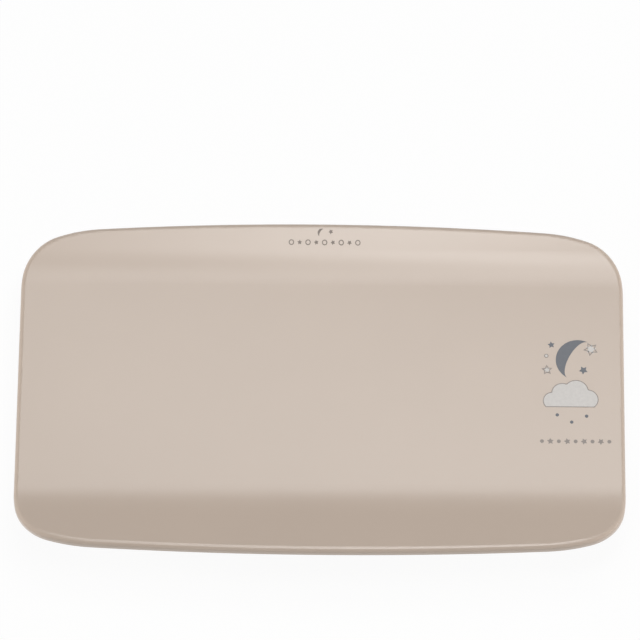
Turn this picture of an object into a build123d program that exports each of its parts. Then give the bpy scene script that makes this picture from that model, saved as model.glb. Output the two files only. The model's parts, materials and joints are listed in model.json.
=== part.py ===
from build123d import *
from math import asin, atan2, cos, degrees, hypot, pi, radians, sin, tan
import os

# Digital baby weighing scale: a dished tray on a low base with four load-cell feet. Millimetres.
# The origin is on the table under the middle of the tray; X to the right, Y to the rear, Z up.
# Every height in the stack is worked out from the one below it, from the rubber pads to the rim.

# ---- Tray: plan outline ----
tray_length = 550.0  # side to side
tray_depth = 327.2  # front to rear
long_edge_radius = 3490.0  # bow of the front and rear edges
shoulder_radius = 160.0  # where a long edge starts to turn into a corner
shoulder_turn = 14.5  # degrees
corner_radius = 45.0
cheek_radius = 87.0  # where a corner runs out into the straight side
cheek_turn = 9.0  # degrees

# ---- Tray: dish and mouldings ----
front_ramp_depth = 72.7  # front edge to the level part
rear_ramp_depth = 56.5  # rear edge to the level part
crease_radius = 100.0  # bend between the level part and a ramp
ramp_slope = 19.5  # steepest angle of a ramp, in degrees
ramp_crown = 750.0  # each ramp eases off towards the rim on this radius
tray_plate = 3.0  # wall of the plate
tray_lip = 10.0  # depth of the rim
tray_lip_wall = 3.0
rim_round = 4.0  # rounding along the rim's top edge
lip_round = 1.0  # rounding along its lower edge
rib_wall = 2.0
rib_height = 5.0
rib_pitch = 60.0
cross_ribs = 7  # ribs that run front to rear
long_ribs = 3  # ribs that run side to side
tray_boss_radius = 5.0
tray_boss_height = 7.0  # gap between the base and the plate

# ---- Base ----
base_length = 412.0
base_depth = 280.0
base_corner = 46.0
base_lift = 8.0  # clear height under the base
base_rim = 4.0  # upright rim of the lower shell
base_height = 30.0  # lower shell's underside to the upper shell's top
base_wall = 2.5
base_slope = 12.0  # lean of the upper shell's walls, in degrees
base_round = 3.0
under_chamfer = 1.5
tongue_height = 2.0  # ridge of the lower shell inside the upper one
tongue_wall = 1.6
tongue_gap = 0.15
plate_recess_x = 130.0  # blank recess on the underside
plate_recess_length = 64.0
plate_recess_width = 40.0
plate_recess_corner = 3.0
plate_recess_depth = 0.4
sound_slot_length = 9.0
sound_slot_width = 1.4
sound_slot_pitch = 3.0
sound_slots = 5

# ---- Feet ----
foot_inset_x = 41.0  # from the end of the base to the middle of a foot
foot_inset_y = 42.0  # from the front or rear of the base
pad_radius = 17.0
pad_thickness = 2.7
pad_recess = 1.2
pad_chamfer = 0.4
foot_radius = 21.0
foot_gap = 0.8  # foot cap to the base's underside
foot_round = 2.0
neck_radius = 16.5
post_radius = 5.0
cell_size = 34.0  # square load-cell plate
cell_wall = 1.2
cell_corner = 3.0
cell_fit = 0.3  # round the plate in its holder
cell_window = 22.0  # opening around the tongue
cell_tongue_width = 16.0
cell_tongue_length = 20.0
gauge_size = 10.0
gauge_height = 0.6
holder_drop = 1.5  # lower edge of the holder above the base's underside
holder_height = 8.0
holder_web = 2.0
holder_window = 24.0
holder_window_corner = 2.0
holder_rail = 4.9  # side wall of the holder
well_gap = 0.3
well_wall = 2.0
well_corner = 6.0

# ---- Front control face (distances behind its outer surface) ----
panel_rise = 12.0  # middle of the display above the joint of the shells
lens_length = 70.0
lens_height = 18.0
lens_wall = 1.2
lens_gap = 0.1
lens_corner = 2.4
window_length = 62.0
window_height = 14.4
window_corner = 1.5
lcd_length = 68.0
lcd_height = 18.0
lcd_wall = 2.6
frame_wall = 3.5
frame_height = 22.0
zebra_wall = 1.8
board_behind = 8.0  # wall's inner surface to the board's front
board_length = 190.0
board_height = 21.6
board_wall = 1.6
board_corner = 1.5
post_inner_x = 42.0  # the board's four posts, either side of its middle
post_outer_x = 90.0
board_post_radius = 3.0
chip_place = 20.0
chip_size = 10.0
chip_wall = 1.4
small_part_length = 3.2
small_part_width = 1.6
small_part_pitch_x = 8.0
small_part_pitch_v = 6.0
header_height = 5.0
header_wall = 5.0
header_up = 3.6  # middle of a header above the board's lower edge
buzzer_place = 56.0
buzzer_radius = 6.0
buzzer_height = 6.0
buzzer_hole_radius = 1.0
buzzer_hole_depth = 1.4
board_room = 2.0  # kept clear past the ends of the board

# ---- Buttons ----
power_button_x = -62.0  # along the control face
hold_button_x = 56.0
unit_button_x = 76.0
button_radius = 6.5
button_proud = 1.2
button_gap = 0.3  # all round the cap, and in front of its flange
button_flange = 1.6  # how much wider the flange is than the cap
flange_wall = 1.0
button_round = 0.8
stem_radius = 2.0
button_travel = 0.5
switch_size = 6.0
switch_height = 3.2
plunger_radius = 1.7
plunger_gap = 0.1
plunger_proud = 1.3  # out of the switch
plunger_inside = 0.9

# ---- Battery bay ----
cell_count = 4
aaa_radius = 5.25
aaa_length = 43.5
aaa_nub_radius = 1.9
aaa_nub = 1.0
aaa_round = 0.5
cell_pitch = 11.0
bay_length = 51.0
bay_middle_y = 20.0
bay_side_gap = 0.3
bay_wall = 1.6
bay_flange = 4.5  # ledge around the bay that joins it to the floor
bay_flange_wall = 1.6
cell_gap = 0.3  # above and below a cell
contact_wall = 0.4
contact_size = 8.0
dimple_radius = 1.6
spring_wire = 0.6
spring_turns = 3.5
spring_steps = 8  # points along each turn
spring_base_radius = 3.6
spring_tip_radius = 2.7
door_wall = 2.2
door_gap = 0.3
door_overlap = 2.5  # how far the door passes the inside of the bay
opening_corner = 2.0
hook_places = (-15.0, 15.0)
hook_width = 8.0
hook_wall = 1.6
hook_reach = 2.5  # over the floor behind the door
arm_wall = 1.5
slot_top = 3.2  # room over the floor for the swinging hooks
latch_width = 14.0
latch_length = 9.0
latch_slit = 0.8
grip_width = 10.0
grip_pitch = 2.0
grip_count = 3
scoop_length = 18.0
scoop_width = 9.0
scoop_depth = 1.2

# ---- Leads ----
lead_radius = 1.1
battery_lead_radius = 0.8
lead_bend = 8.0
lead_lift = 0.1  # lead's lowest line above the floor
lead_spacing = 6.0  # between leads at the board
sensor_header_x = -67.0
battery_header_x = -17.0
battery_lead_up = 2.6  # the battery leads cross this far above the others
lead_end_gap = 0.3
rear_lead_x = 104.0  # the rear leads run forward along these lines
side_clip_ys = (-30.0, 40.0)  # clips on those lines
rear_run_clip_xs = (10.0, 60.0)
front_run_clip_xs = (-110.0, 10.0, 90.0)
clip_length = 4.0
clip_wall = 1.4

# ---- Screws ----
shell_screw_inset_x = 76.0  # front and rear pairs, from the ends of the base
shell_screw_inset_y = 22.0
side_screw_inset = 17.0
tray_screw_inset_x = 86.0
tray_screw_inset_y = 70.0
head_radius = 3.0
head_height = 2.0
shank_radius = 1.5
hole_gap = 0.2  # clearance holes
pilot_gap = 0.05  # the plastic is left this much clear of a shank
shell_shank = 12.0
tray_shank = 8.0
board_shank = 6.0
board_head_radius = 2.2
board_shank_radius = 1.1
boss_radius = 4.0
pillar_radius = 5.5
pillar_height = 5.0  # of the lower shell's screw pillars, above its underside
pillar_web = 2.0  # what a screw head bears on
head_round = 0.6
shank_chamfer = 0.5
cross_reach = 2.4
cross_wall = 0.6
cross_depth = 0.9

# ---- Heights and depths that follow ----
under_z = base_lift
floor_z = under_z + base_wall
split_z = under_z + base_rim
base_top_z = under_z + base_height
ceiling_z = base_top_z - base_wall
tray_plate_z = base_top_z + tray_boss_height
tray_level_z = tray_plate_z + tray_plate
front_level = tray_depth / 2 - front_ramp_depth
rear_level = tray_depth / 2 - rear_ramp_depth
sky_z = tray_level_z + tray_depth  # above everything
slope = radians(base_slope)
skin = base_wall / cos(slope)  # a leaning wall, measured level
foot_x = base_length / 2 - foot_inset_x
foot_y = base_depth / 2 - foot_inset_y
well_size = cell_size + 2 * (cell_fit + holder_rail + well_gap)
holder_size = well_size - 2 * well_gap
holder_z = under_z + holder_drop
well_ceiling_z = holder_z + holder_height
cell_top_z = well_ceiling_z - holder_web
cell_z = cell_top_z - cell_wall
well_top_z = well_ceiling_z + well_wall
panel_z = split_z + panel_rise
panel_y = -base_depth / 2 + panel_rise * tan(slope)
panel = Plane(origin=(0, panel_y, panel_z), x_dir=(1, 0, 0), z_dir=(0, -cos(slope), sin(slope)))
post_places = (-post_outer_x, -post_inner_x, post_inner_x, post_outer_x)
button_places = {"power": power_button_x, "hold": hold_button_x, "unit": unit_button_x}
board_front = -(base_wall + board_behind)  # along the control face's normal
board_back = board_front - board_wall
header_back = board_back - header_wall
header_v = -board_height / 2 + header_up
buzzer_y = panel_y - (board_back - buzzer_height / 2) * cos(slope)
switch_top = board_front + switch_height
plunger_top = switch_top + plunger_proud
flange_front = -(base_wall + button_gap)
flange_back = flange_front - flange_wall
bay_width = cell_count * cell_pitch + 2 * bay_side_gap
door_length = bay_length + 2 * door_overlap
door_width = bay_width + 2 * door_overlap
opening_length = door_length + 2 * door_gap
opening_width = door_width + 2 * door_gap
hinge_y = bay_middle_y + opening_width / 2
door_top_z = under_z + door_wall
cell_z_middle = door_top_z + cell_gap + aaa_radius
bay_ceiling_z = cell_z_middle + aaa_radius + cell_gap
bay_top_z = bay_ceiling_z + bay_wall
contact_face = bay_length / 2 - contact_wall
lead_z = floor_z + lead_lift + lead_radius
shell_screw_x = base_length / 2 - shell_screw_inset_x
shell_screw_y = base_depth / 2 - shell_screw_inset_y
side_screw_x = base_length / 2 - side_screw_inset
shell_screw_places = [
    (-shell_screw_x, -shell_screw_y),
    (shell_screw_x, -shell_screw_y),
    (-shell_screw_x, shell_screw_y),
    (shell_screw_x, shell_screw_y),
    (-side_screw_x, 0),
    (side_screw_x, 0),
]
tray_screw_x = base_length / 2 - tray_screw_inset_x
tray_screw_y = base_depth / 2 - tray_screw_inset_y
pillar_z = under_z + pillar_height + pillar_web
head_seat_z = under_z + pillar_height

os.makedirs("parts", exist_ok=True)


# ---- Tray ----
def tray_sketch(z, inset):
    """The tray's plan outline at height z, moved in by inset. From the rear edge's middle it runs along
    one long flat arc, then through a shoulder, the corner and a cheek into the straight side."""
    long_r = long_edge_radius - inset
    shoulder_r = shoulder_radius - inset
    corner_r = corner_radius - inset
    cheek_r = cheek_radius - inset
    first = radians(shoulder_turn)
    last = radians(cheek_turn)
    # The long edge turns by just as much as brings the chain of arcs to the tray's side.
    side_reach = tray_length / 2 - inset - corner_r * cos(last) - cheek_r * (1 - cos(last))
    along = long_r - shoulder_r + (shoulder_r - corner_r) * cos(first)
    across = (shoulder_r - corner_r) * sin(first)
    bow = degrees(asin(side_reach / hypot(along, across)) - atan2(across, along))
    with BuildSketch(Plane.XY.offset(z)) as plan:
        with BuildLine():
            edge = JernArc((0, tray_depth / 2 - inset), (1, 0), long_r, -bow)
            shoulder = JernArc(edge @ 1, edge % 1, shoulder_r, -shoulder_turn)
            corner_turn = 90 - bow - shoulder_turn - cheek_turn
            corner = JernArc(shoulder @ 1, shoulder % 1, corner_r, -corner_turn)
            cheek = JernArc(corner @ 1, corner % 1, cheek_r, -cheek_turn)
            Line(cheek @ 1, ((cheek @ 1).X, 0))
            mirror(about=Plane.XZ)
            mirror(about=Plane.YZ)
        make_face()
    return plan.sketch


def crown_turn(ramp_depth):
    """How far a ramp eases off between its steepest point and just past the rim."""
    left = ramp_depth + rim_round - crease_radius * sin(radians(ramp_slope))
    return ramp_slope - degrees(asin(sin(radians(ramp_slope)) - left / ramp_crown))


def dish_block(level_z):
    """All that lies under the dish when its level part is at level_z."""
    with BuildPart() as block:
        with BuildSketch(Plane.YZ):
            with BuildLine():
                level = Line((-front_level, level_z), (rear_level, level_z))
                rear_bend = JernArc(level @ 1, (1, 0), crease_radius, ramp_slope)
                rear_ramp = JernArc(rear_bend @ 1, rear_bend % 1, ramp_crown, -crown_turn(rear_ramp_depth))
                front_bend = JernArc(level @ 0, (-1, 0), crease_radius, -ramp_slope)
                front_ramp = JernArc(front_bend @ 1, front_bend % 1, ramp_crown, crown_turn(front_ramp_depth))
                rear_end = rear_ramp @ 1
                front_end = front_ramp @ 1
                Polyline(rear_end, (rear_end.X, 0), (front_end.X, 0), front_end)
            make_face()
        extrude(amount=tray_length, both=True)
    return block.part


with BuildPart() as tray_hollow:
    extrude(tray_sketch(0, tray_lip_wall), amount=sky_z)
    add(dish_block(tray_plate_z), mode=Mode.INTERSECT)

with BuildPart() as tray_ribs:
    with BuildSketch():
        with GridLocations(rib_pitch, 1, cross_ribs, 1):
            Rectangle(rib_wall, tray_depth - tray_lip_wall)
        with GridLocations(1, rib_pitch, 1, long_ribs):
            Rectangle((cross_ribs - 1) * rib_pitch, rib_wall)
    extrude(amount=sky_z)
    extrude(tray_sketch(0, tray_lip_wall / 2), amount=sky_z, mode=Mode.INTERSECT)
    add(dish_block(tray_level_z - tray_plate / 2), mode=Mode.INTERSECT)
    add(dish_block(tray_plate_z - rib_height), mode=Mode.SUBTRACT)

with BuildPart() as tray:
    extrude(tray_sketch(0, 0), amount=sky_z)
    add(dish_block(tray_level_z), mode=Mode.INTERSECT)
    top_faces = tray.faces().filter_by(lambda face: face.normal_at().Z > 0.5)
    fillet(top_faces.edges().filter_by(Axis.X, reverse=True), radius=rim_round)
    add(dish_block(tray_level_z - tray_lip), mode=Mode.SUBTRACT)
    under_faces = tray.faces().filter_by(lambda face: face.normal_at().Z < -0.5)
    fillet(under_faces.edges().filter_by(Axis.X, reverse=True), radius=lip_round)
    add(tray_hollow.part, mode=Mode.SUBTRACT)
    add(tray_ribs.part)
    with BuildSketch(Plane.XY.offset(base_top_z)):
        with GridLocations(2 * tray_screw_x, 2 * tray_screw_y, 2, 2):
            Circle(tray_boss_radius)
    extrude(amount=tray_boss_height + tray_plate / 2)
    with BuildSketch(Plane.XY.offset(base_top_z)):
        with GridLocations(2 * tray_screw_x, 2 * tray_screw_y, 2, 2):
            Circle(shank_radius + pilot_gap)
    extrude(amount=tray_shank, mode=Mode.SUBTRACT)
tray.part.label = "tray"
export_step(tray.part, "parts/tray.step")

# ---- Upper shell of the base, with the control face in its front wall ----
with BuildPart() as base_upper_shell:
    with BuildSketch(Plane.XY.offset(split_z)):
        RectangleRounded(base_length, base_depth, base_corner)
    extrude(amount=base_top_z - split_z, taper=base_slope)
    fillet(base_upper_shell.faces().sort_by(Axis.Z)[-1].edges(), radius=base_round)
    with BuildSketch(Plane.XY.offset(split_z)):
        RectangleRounded(base_length - 2 * skin, base_depth - 2 * skin, base_corner - skin)
    extrude(amount=ceiling_z - split_z, taper=base_slope, mode=Mode.SUBTRACT)
    # Bosses for the screws that come up through the lower shell
    with BuildSketch(Plane.XY.offset(pillar_z)):
        with Locations(*shell_screw_places):
            Circle(boss_radius)
    extrude(amount=ceiling_z + base_wall / 2 - pillar_z)
    with BuildSketch(Plane.XY.offset(pillar_z)):
        with Locations(*shell_screw_places):
            Circle(shank_radius + pilot_gap)
    extrude(amount=shell_shank, mode=Mode.SUBTRACT)
    # Holes for the screws that hold the tray
    with BuildSketch(Plane.XY.offset(ceiling_z)):
        with GridLocations(2 * tray_screw_x, 2 * tray_screw_y, 2, 2):
            Circle(shank_radius + hole_gap)
    extrude(amount=base_wall, mode=Mode.SUBTRACT)
    # Lens seat, display window and button holes
    with BuildSketch(panel):
        RectangleRounded(lens_length + 2 * lens_gap, lens_height + 2 * lens_gap, lens_corner + lens_gap)
    extrude(amount=-lens_wall, mode=Mode.SUBTRACT)
    with BuildSketch(panel):
        RectangleRounded(window_length, window_height, window_corner)
        with Locations(*[(place, 0) for place in button_places.values()]):
            Circle(button_radius + button_gap)
    extrude(amount=-2 * base_wall, mode=Mode.SUBTRACT)
    # Posts that carry the board
    with BuildSketch(panel.offset(-base_wall / 2)):
        with Locations(*[(place, 0) for place in post_places]):
            Circle(board_post_radius)
    extrude(amount=board_front + base_wall / 2)
    with BuildSketch(panel.offset(board_front)):
        with Locations(*[(place, 0) for place in post_places]):
            Circle(board_shank_radius + pilot_gap)
    extrude(amount=board_shank, mode=Mode.SUBTRACT)
base_upper_shell.part.label = "base_upper_shell"
export_step(base_upper_shell.part, "parts/base_upper_shell.step")


# ---- Routes of the leads, which the clips and the well slots follow ----
def lead_exit_y(end):
    """Where a well's lead leaves it: the front pair is held clear of the rear pair's runs."""
    return end * foot_y - (lead_bend if end < 0 else 0)


def header_face_y(z):
    """Where the leaning rear face of the board's headers stands at height z."""
    up = (z - panel_z - header_back * sin(slope)) / cos(slope)
    return panel_y + up * sin(slope) - header_back * cos(slope)


lead_stop_y = header_face_y(lead_z) + lead_end_gap
well_side_x = foot_x - holder_size / 2 - lead_end_gap
front_run_y = lead_exit_y(-1)
rear_run_y = front_run_y + 3 * lead_spacing
sensor_routes = {
    "front_left": [(-well_side_x, front_run_y), (sensor_header_x - 1.5 * lead_spacing, front_run_y)],
    "rear_left": [
        (-well_side_x, lead_exit_y(1)),
        (-rear_lead_x, lead_exit_y(1)),
        (-rear_lead_x, rear_run_y),
        (sensor_header_x - 0.5 * lead_spacing, rear_run_y),
    ],
    "rear_right": [
        (well_side_x, lead_exit_y(1)),
        (rear_lead_x, lead_exit_y(1)),
        (rear_lead_x, rear_run_y),
        (sensor_header_x + 0.5 * lead_spacing, rear_run_y),
    ],
    "front_right": [(well_side_x, front_run_y), (sensor_header_x + 1.5 * lead_spacing, front_run_y)],
}
clip_places = [(side * rear_lead_x, y, 90) for side in (-1, 1) for y in side_clip_ys]
clip_places += [(x, rear_run_y, 0) for x in rear_run_clip_xs]
clip_places += [(x, front_run_y, 0) for x in front_run_clip_xs]


# ---- Lower shell of the base ----
def ring(z, height, outer_length, outer_width, outer_corner, wall):
    """An upright rounded rectangular wall."""
    with BuildPart() as band:
        with BuildSketch(Plane.XY.offset(z)):
            RectangleRounded(outer_length, outer_width, outer_corner)
            RectangleRounded(
                outer_length - 2 * wall, outer_width - 2 * wall, outer_corner - wall, mode=Mode.SUBTRACT
            )
        extrude(amount=height)
    return band.part


tongue_inset = skin + tongue_height * tan(slope) + tongue_gap
with BuildPart() as base_lower_shell:
    with BuildSketch(Plane.XY.offset(under_z)):
        RectangleRounded(base_length, base_depth, base_corner)
    extrude(amount=base_wall)
    chamfer(base_lower_shell.faces().sort_by(Axis.Z)[0].edges(), under_chamfer)
    add(ring(floor_z, split_z - floor_z, base_length, base_depth, base_corner, skin))
    tongue_length = base_length - 2 * tongue_inset
    tongue_depth = base_depth - 2 * tongue_inset
    tongue_top = split_z + tongue_height
    add(ring(floor_z, tongue_top - floor_z, tongue_length, tongue_depth, base_corner - skin, tongue_wall))
    # The ridge stops where the display and the board stand
    with BuildSketch(Plane.XY.offset(floor_z)):
        with Locations((0, -base_depth / 2 + skin + tongue_inset)):
            Rectangle(board_length + 2 * board_room, 2 * tongue_inset)
    extrude(amount=tongue_top - floor_z, mode=Mode.SUBTRACT)
    # Pillars that the shell screws pass through, with their heads sunk in from below
    with BuildSketch(Plane.XY.offset(under_z)):
        with Locations(*shell_screw_places):
            Circle(pillar_radius)
    extrude(amount=pillar_z - under_z)
    with BuildSketch(Plane.XY.offset(under_z)):
        with Locations(*shell_screw_places):
            Circle(head_radius + hole_gap)
    extrude(amount=pillar_height, mode=Mode.SUBTRACT)
    with BuildSketch(Plane.XY.offset(under_z)):
        with Locations(*shell_screw_places):
            Circle(shank_radius + hole_gap)
    extrude(amount=pillar_z - under_z, mode=Mode.SUBTRACT)
    # Load-cell wells, open downwards
    with BuildSketch(Plane.XY.offset(under_z)):
        with GridLocations(2 * foot_x, 2 * foot_y, 2, 2):
            RectangleRounded(well_size + 2 * well_wall, well_size + 2 * well_wall, well_corner + well_wall)
    extrude(amount=well_top_z - under_z)
    with BuildSketch(Plane.XY.offset(under_z)):
        with GridLocations(2 * foot_x, 2 * foot_y, 2, 2):
            RectangleRounded(well_size, well_size, well_corner)
    extrude(amount=well_ceiling_z - under_z, mode=Mode.SUBTRACT)
    # Slots in the wells for the leads
    with BuildSketch(Plane.XY.offset(floor_z)):
        for side in (-1, 1):
            for end in (-1, 1):
                with Locations((side * (foot_x - well_size / 2 - well_wall / 2), lead_exit_y(end))):
                    Rectangle(2 * well_wall, 3 * lead_radius)
    extrude(amount=3 * lead_radius, mode=Mode.SUBTRACT)
    # Battery bay: a box on a ledge, and the opening that the door closes
    with BuildSketch(Plane.XY.offset(floor_z)):
        with Locations((0, bay_middle_y)):
            Rectangle(opening_length + 2 * bay_flange, opening_width + 2 * bay_flange)
    extrude(amount=bay_flange_wall)
    with BuildSketch(Plane.XY.offset(floor_z)):
        with Locations((0, bay_middle_y)):
            Rectangle(bay_length + 2 * bay_wall, bay_width + 2 * bay_wall)
    extrude(amount=bay_top_z - floor_z)
    with BuildSketch(Plane.XY.offset(under_z)):
        with Locations((0, bay_middle_y)):
            Rectangle(bay_length, bay_width)
    extrude(amount=bay_ceiling_z - under_z, mode=Mode.SUBTRACT)
    with BuildSketch(Plane.XY.offset(under_z)):
        with Locations((0, bay_middle_y)):
            RectangleRounded(opening_length, opening_width, opening_corner)
    extrude(amount=base_wall, mode=Mode.SUBTRACT)
    # Slots that the door's hooks swing in
    with BuildSketch(Plane.XY.offset(floor_z)):
        with Locations(*[(place, hinge_y - arm_wall) for place in hook_places]):
            Rectangle(hook_width + 4 * door_gap, 2 * (hook_reach + arm_wall + door_gap))
    extrude(amount=slot_top, mode=Mode.SUBTRACT)
    # Scoop for a fingertip in front of the latch
    with BuildSketch(Plane.XY.offset(under_z)):
        with Locations((0, bay_middle_y - opening_width / 2)):
            SlotOverall(scoop_length, scoop_width)
    extrude(amount=scoop_depth, mode=Mode.SUBTRACT)
    # Blank recess for a rating plate, and sound slots below the buzzer
    with BuildSketch(Plane.XY.offset(under_z)):
        with Locations((plate_recess_x, bay_middle_y)):
            RectangleRounded(plate_recess_length, plate_recess_width, plate_recess_corner)
    extrude(amount=plate_recess_depth, mode=Mode.SUBTRACT)
    with BuildSketch(Plane.XY.offset(under_z)):
        with Locations((buzzer_place, buzzer_y)):
            with GridLocations(sound_slot_pitch, 1, sound_slots, 1):
                SlotOverall(sound_slot_length, sound_slot_width, rotation=90)
    extrude(amount=base_wall, mode=Mode.SUBTRACT)
    # Clips on the floor, each with a channel for its lead
    for clip_x, clip_y, clip_turn in clip_places:
        with BuildSketch(Plane.XY.offset(floor_z)):
            with Locations(Location((clip_x, clip_y), clip_turn)):
                for side in (-1, 1):
                    with Locations((0, side * (lead_radius + lead_lift + clip_wall / 2))):
                        Rectangle(clip_length, clip_wall)
        extrude(amount=2 * lead_radius + lead_lift)
base_lower_shell.part.label = "base_lower_shell"
export_step(base_lower_shell.part, "parts/base_lower_shell.step")

# ---- Feet: rubber pad, cap, load cell and its holder, four times ----
for side_name, side in (("left", -1), ("right", 1)):
    for end_name, end in (("front", -1), ("rear", 1)):
        corner_name = f"{end_name}_{side_name}"
        foot = Plane(origin=(side * foot_x, end * foot_y, 0))

        with BuildPart() as foot_pad:
            with BuildSketch(foot):
                Circle(pad_radius)
            extrude(amount=pad_thickness)
            chamfer(foot_pad.edges().sort_by(Axis.Z)[0], pad_chamfer)
        foot_pad.part.label = f"foot_pad_{corner_name}"
        export_step(foot_pad.part, f"parts/foot_pad_{corner_name}.step")

        cap_z = pad_thickness - pad_recess
        cap_top = under_z - foot_gap
        with BuildPart() as foot_cap:
            with BuildSketch(foot.offset(cap_z)):
                Circle(foot_radius)
            extrude(amount=cap_top - cap_z)
            fillet(foot_cap.edges().sort_by(Axis.Z)[0], radius=foot_round)
            with BuildSketch(foot.offset(cap_top)):
                Circle(neck_radius)
            extrude(amount=holder_z + holder_drop - cap_top)
            with BuildSketch(foot.offset(cap_top)):
                Circle(post_radius)
            extrude(amount=cell_z - cap_top)
            with BuildSketch(foot.offset(cap_z)):
                Circle(pad_radius)
            extrude(amount=pad_recess, mode=Mode.SUBTRACT)
        foot_cap.part.label = f"foot_cap_{corner_name}"
        export_step(foot_cap.part, f"parts/foot_cap_{corner_name}.step")

        with BuildPart() as load_cell:
            with BuildSketch(foot.offset(cell_z)):
                RectangleRounded(cell_size, cell_size, cell_corner)
                Rectangle(cell_window, cell_window, mode=Mode.SUBTRACT)
                with Locations((0, (cell_window - cell_tongue_length) / 2)):
                    Rectangle(cell_tongue_width, cell_tongue_length)
            extrude(amount=cell_wall)
            with BuildSketch(foot.offset(cell_top_z)):
                Rectangle(gauge_size, gauge_size)
            extrude(amount=gauge_height)
        load_cell.part.label = f"load_cell_{corner_name}"
        export_step(load_cell.part, f"parts/load_cell_{corner_name}.step")

        with BuildPart() as sensor_holder:
            with BuildSketch(foot.offset(holder_z)):
                RectangleRounded(holder_size, holder_size, well_corner - well_gap)
            extrude(amount=holder_height)
            with BuildSketch(foot.offset(holder_z)):
                Rectangle(holder_size - 2 * holder_rail, holder_size - 2 * holder_rail)
            extrude(amount=cell_top_z - holder_z, mode=Mode.SUBTRACT)
            with BuildSketch(foot.offset(cell_top_z)):
                RectangleRounded(holder_window, holder_window, holder_window_corner)
            extrude(amount=holder_web, mode=Mode.SUBTRACT)
        sensor_holder.part.label = f"sensor_holder_{corner_name}"
        export_step(sensor_holder.part, f"parts/sensor_holder_{corner_name}.step")

# ---- Display stack, from the lens back to the board ----
with BuildPart() as display_lens:
    with BuildSketch(panel):
        RectangleRounded(lens_length, lens_height, lens_corner)
    extrude(amount=-lens_wall)
display_lens.part.label = "display_lens"
export_step(display_lens.part, "parts/display_lens.step")

with BuildPart() as lcd_glass:
    with BuildSketch(panel.offset(-base_wall)):
        Rectangle(lcd_length, lcd_height)
    extrude(amount=-lcd_wall)
lcd_glass.part.label = "lcd_glass"
export_step(lcd_glass.part, "parts/lcd_glass.step")

lcd_back = base_wall + lcd_wall
zebra_v = -lcd_height / 2 + zebra_wall
with BuildPart() as lcd_backlight:
    with BuildSketch(panel.offset(-lcd_back)):
        with Locations((0, (lcd_height / 2 + zebra_v + zebra_wall) / 2)):
            Rectangle(lcd_length, lcd_height / 2 - zebra_v - zebra_wall)
    extrude(amount=board_front + lcd_back)
lcd_backlight.part.label = "lcd_backlight"
export_step(lcd_backlight.part, "parts/lcd_backlight.step")

with BuildPart() as zebra_strip:
    with BuildSketch(panel.offset(-lcd_back)):
        with Locations((0, zebra_v)):
            Rectangle(window_length, zebra_wall)
    extrude(amount=board_front + lcd_back)
zebra_strip.part.label = "zebra_strip"
export_step(zebra_strip.part, "parts/zebra_strip.step")

with BuildPart() as lcd_frame:
    with BuildSketch(panel.offset(-base_wall)):
        Rectangle(lcd_length + 2 * frame_wall, frame_height)
        Rectangle(lcd_length + 2 * lens_gap, lcd_height + 2 * lens_gap, mode=Mode.SUBTRACT)
    extrude(amount=board_front + base_wall)
lcd_frame.part.label = "lcd_frame"
export_step(lcd_frame.part, "parts/lcd_frame.step")

# ---- Board and what is soldered to it ----
with BuildPart() as main_board:
    with BuildSketch(panel.offset(board_front)):
        RectangleRounded(board_length, board_height, board_corner)
        with Locations(*[(place, 0) for place in post_places]):
            Circle(board_shank_radius + hole_gap, mode=Mode.SUBTRACT)
    extrude(amount=-board_wall)
main_board.part.label = "main_board"
export_step(main_board.part, "parts/main_board.step")

with BuildPart() as board_components:
    with BuildSketch(panel.offset(board_back)):
        with Locations((chip_place, 0)):
            Rectangle(chip_size, chip_size)
        with GridLocations(small_part_pitch_x, small_part_pitch_v, 2, 2):
            Rectangle(small_part_length, small_part_width)
    extrude(amount=-chip_wall)
    with BuildSketch(panel.offset(board_back)):
        with Locations((sensor_header_x, header_v)):
            Rectangle(4 * lead_spacing, header_height)
        with Locations((battery_header_x, header_v + battery_lead_up)):
            Rectangle(2 * lead_spacing, header_height)
    extrude(amount=-header_wall)
board_components.part.label = "board_components"
export_step(board_components.part, "parts/board_components.step")

with BuildPart() as buzzer:
    with BuildSketch(panel.offset(board_back)):
        with Locations((buzzer_place, 0)):
            Circle(buzzer_radius)
    extrude(amount=-buzzer_height)
    with BuildSketch(panel.offset(board_back - buzzer_height)):
        with Locations((buzzer_place, 0)):
            Circle(buzzer_hole_radius)
    extrude(amount=buzzer_hole_depth, mode=Mode.SUBTRACT)
buzzer.part.label = "buzzer"
export_step(buzzer.part, "parts/buzzer.step")

with BuildPart() as tact_switches:
    with BuildSketch(panel.offset(board_front)):
        with Locations(*[(place, 0) for place in button_places.values()]):
            Rectangle(switch_size, switch_size)
    extrude(amount=switch_height)
    with BuildSketch(panel.offset(switch_top)):
        with Locations(*[(place, 0) for place in button_places.values()]):
            Circle(plunger_radius + plunger_gap)
    extrude(amount=-(plunger_inside + 2 * button_travel), mode=Mode.SUBTRACT)
tact_switches.part.label = "tact_switches"
export_step(tact_switches.part, "parts/tact_switches.step")

# ---- Buttons and the plungers that they push ----
for name, place in button_places.items():
    with BuildPart() as button:
        with BuildSketch(panel.offset(flange_back)):
            with Locations((place, 0)):
                Circle(button_radius + button_flange)
        extrude(amount=flange_wall)
        with BuildSketch(panel.offset(flange_front)):
            with Locations((place, 0)):
                Circle(button_radius)
        extrude(amount=button_proud - flange_front)
        fillet(button.edges().sort_by(Axis(panel.origin, panel.z_dir))[-1], radius=button_round)
        with BuildSketch(panel.offset(flange_back)):
            with Locations((place, 0)):
                Circle(stem_radius)
        extrude(amount=plunger_top - flange_back)
    button.part.label = f"{name}_button"
    export_step(button.part, f"parts/{name}_button.step")

    with BuildPart() as plunger:
        with BuildSketch(panel.offset(plunger_top)):
            with Locations((place, 0)):
                Circle(plunger_radius)
        extrude(amount=-(plunger_proud + plunger_inside))
    plunger.part.label = f"{name}_plunger"
    export_step(plunger.part, f"parts/{name}_plunger.step")

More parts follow.
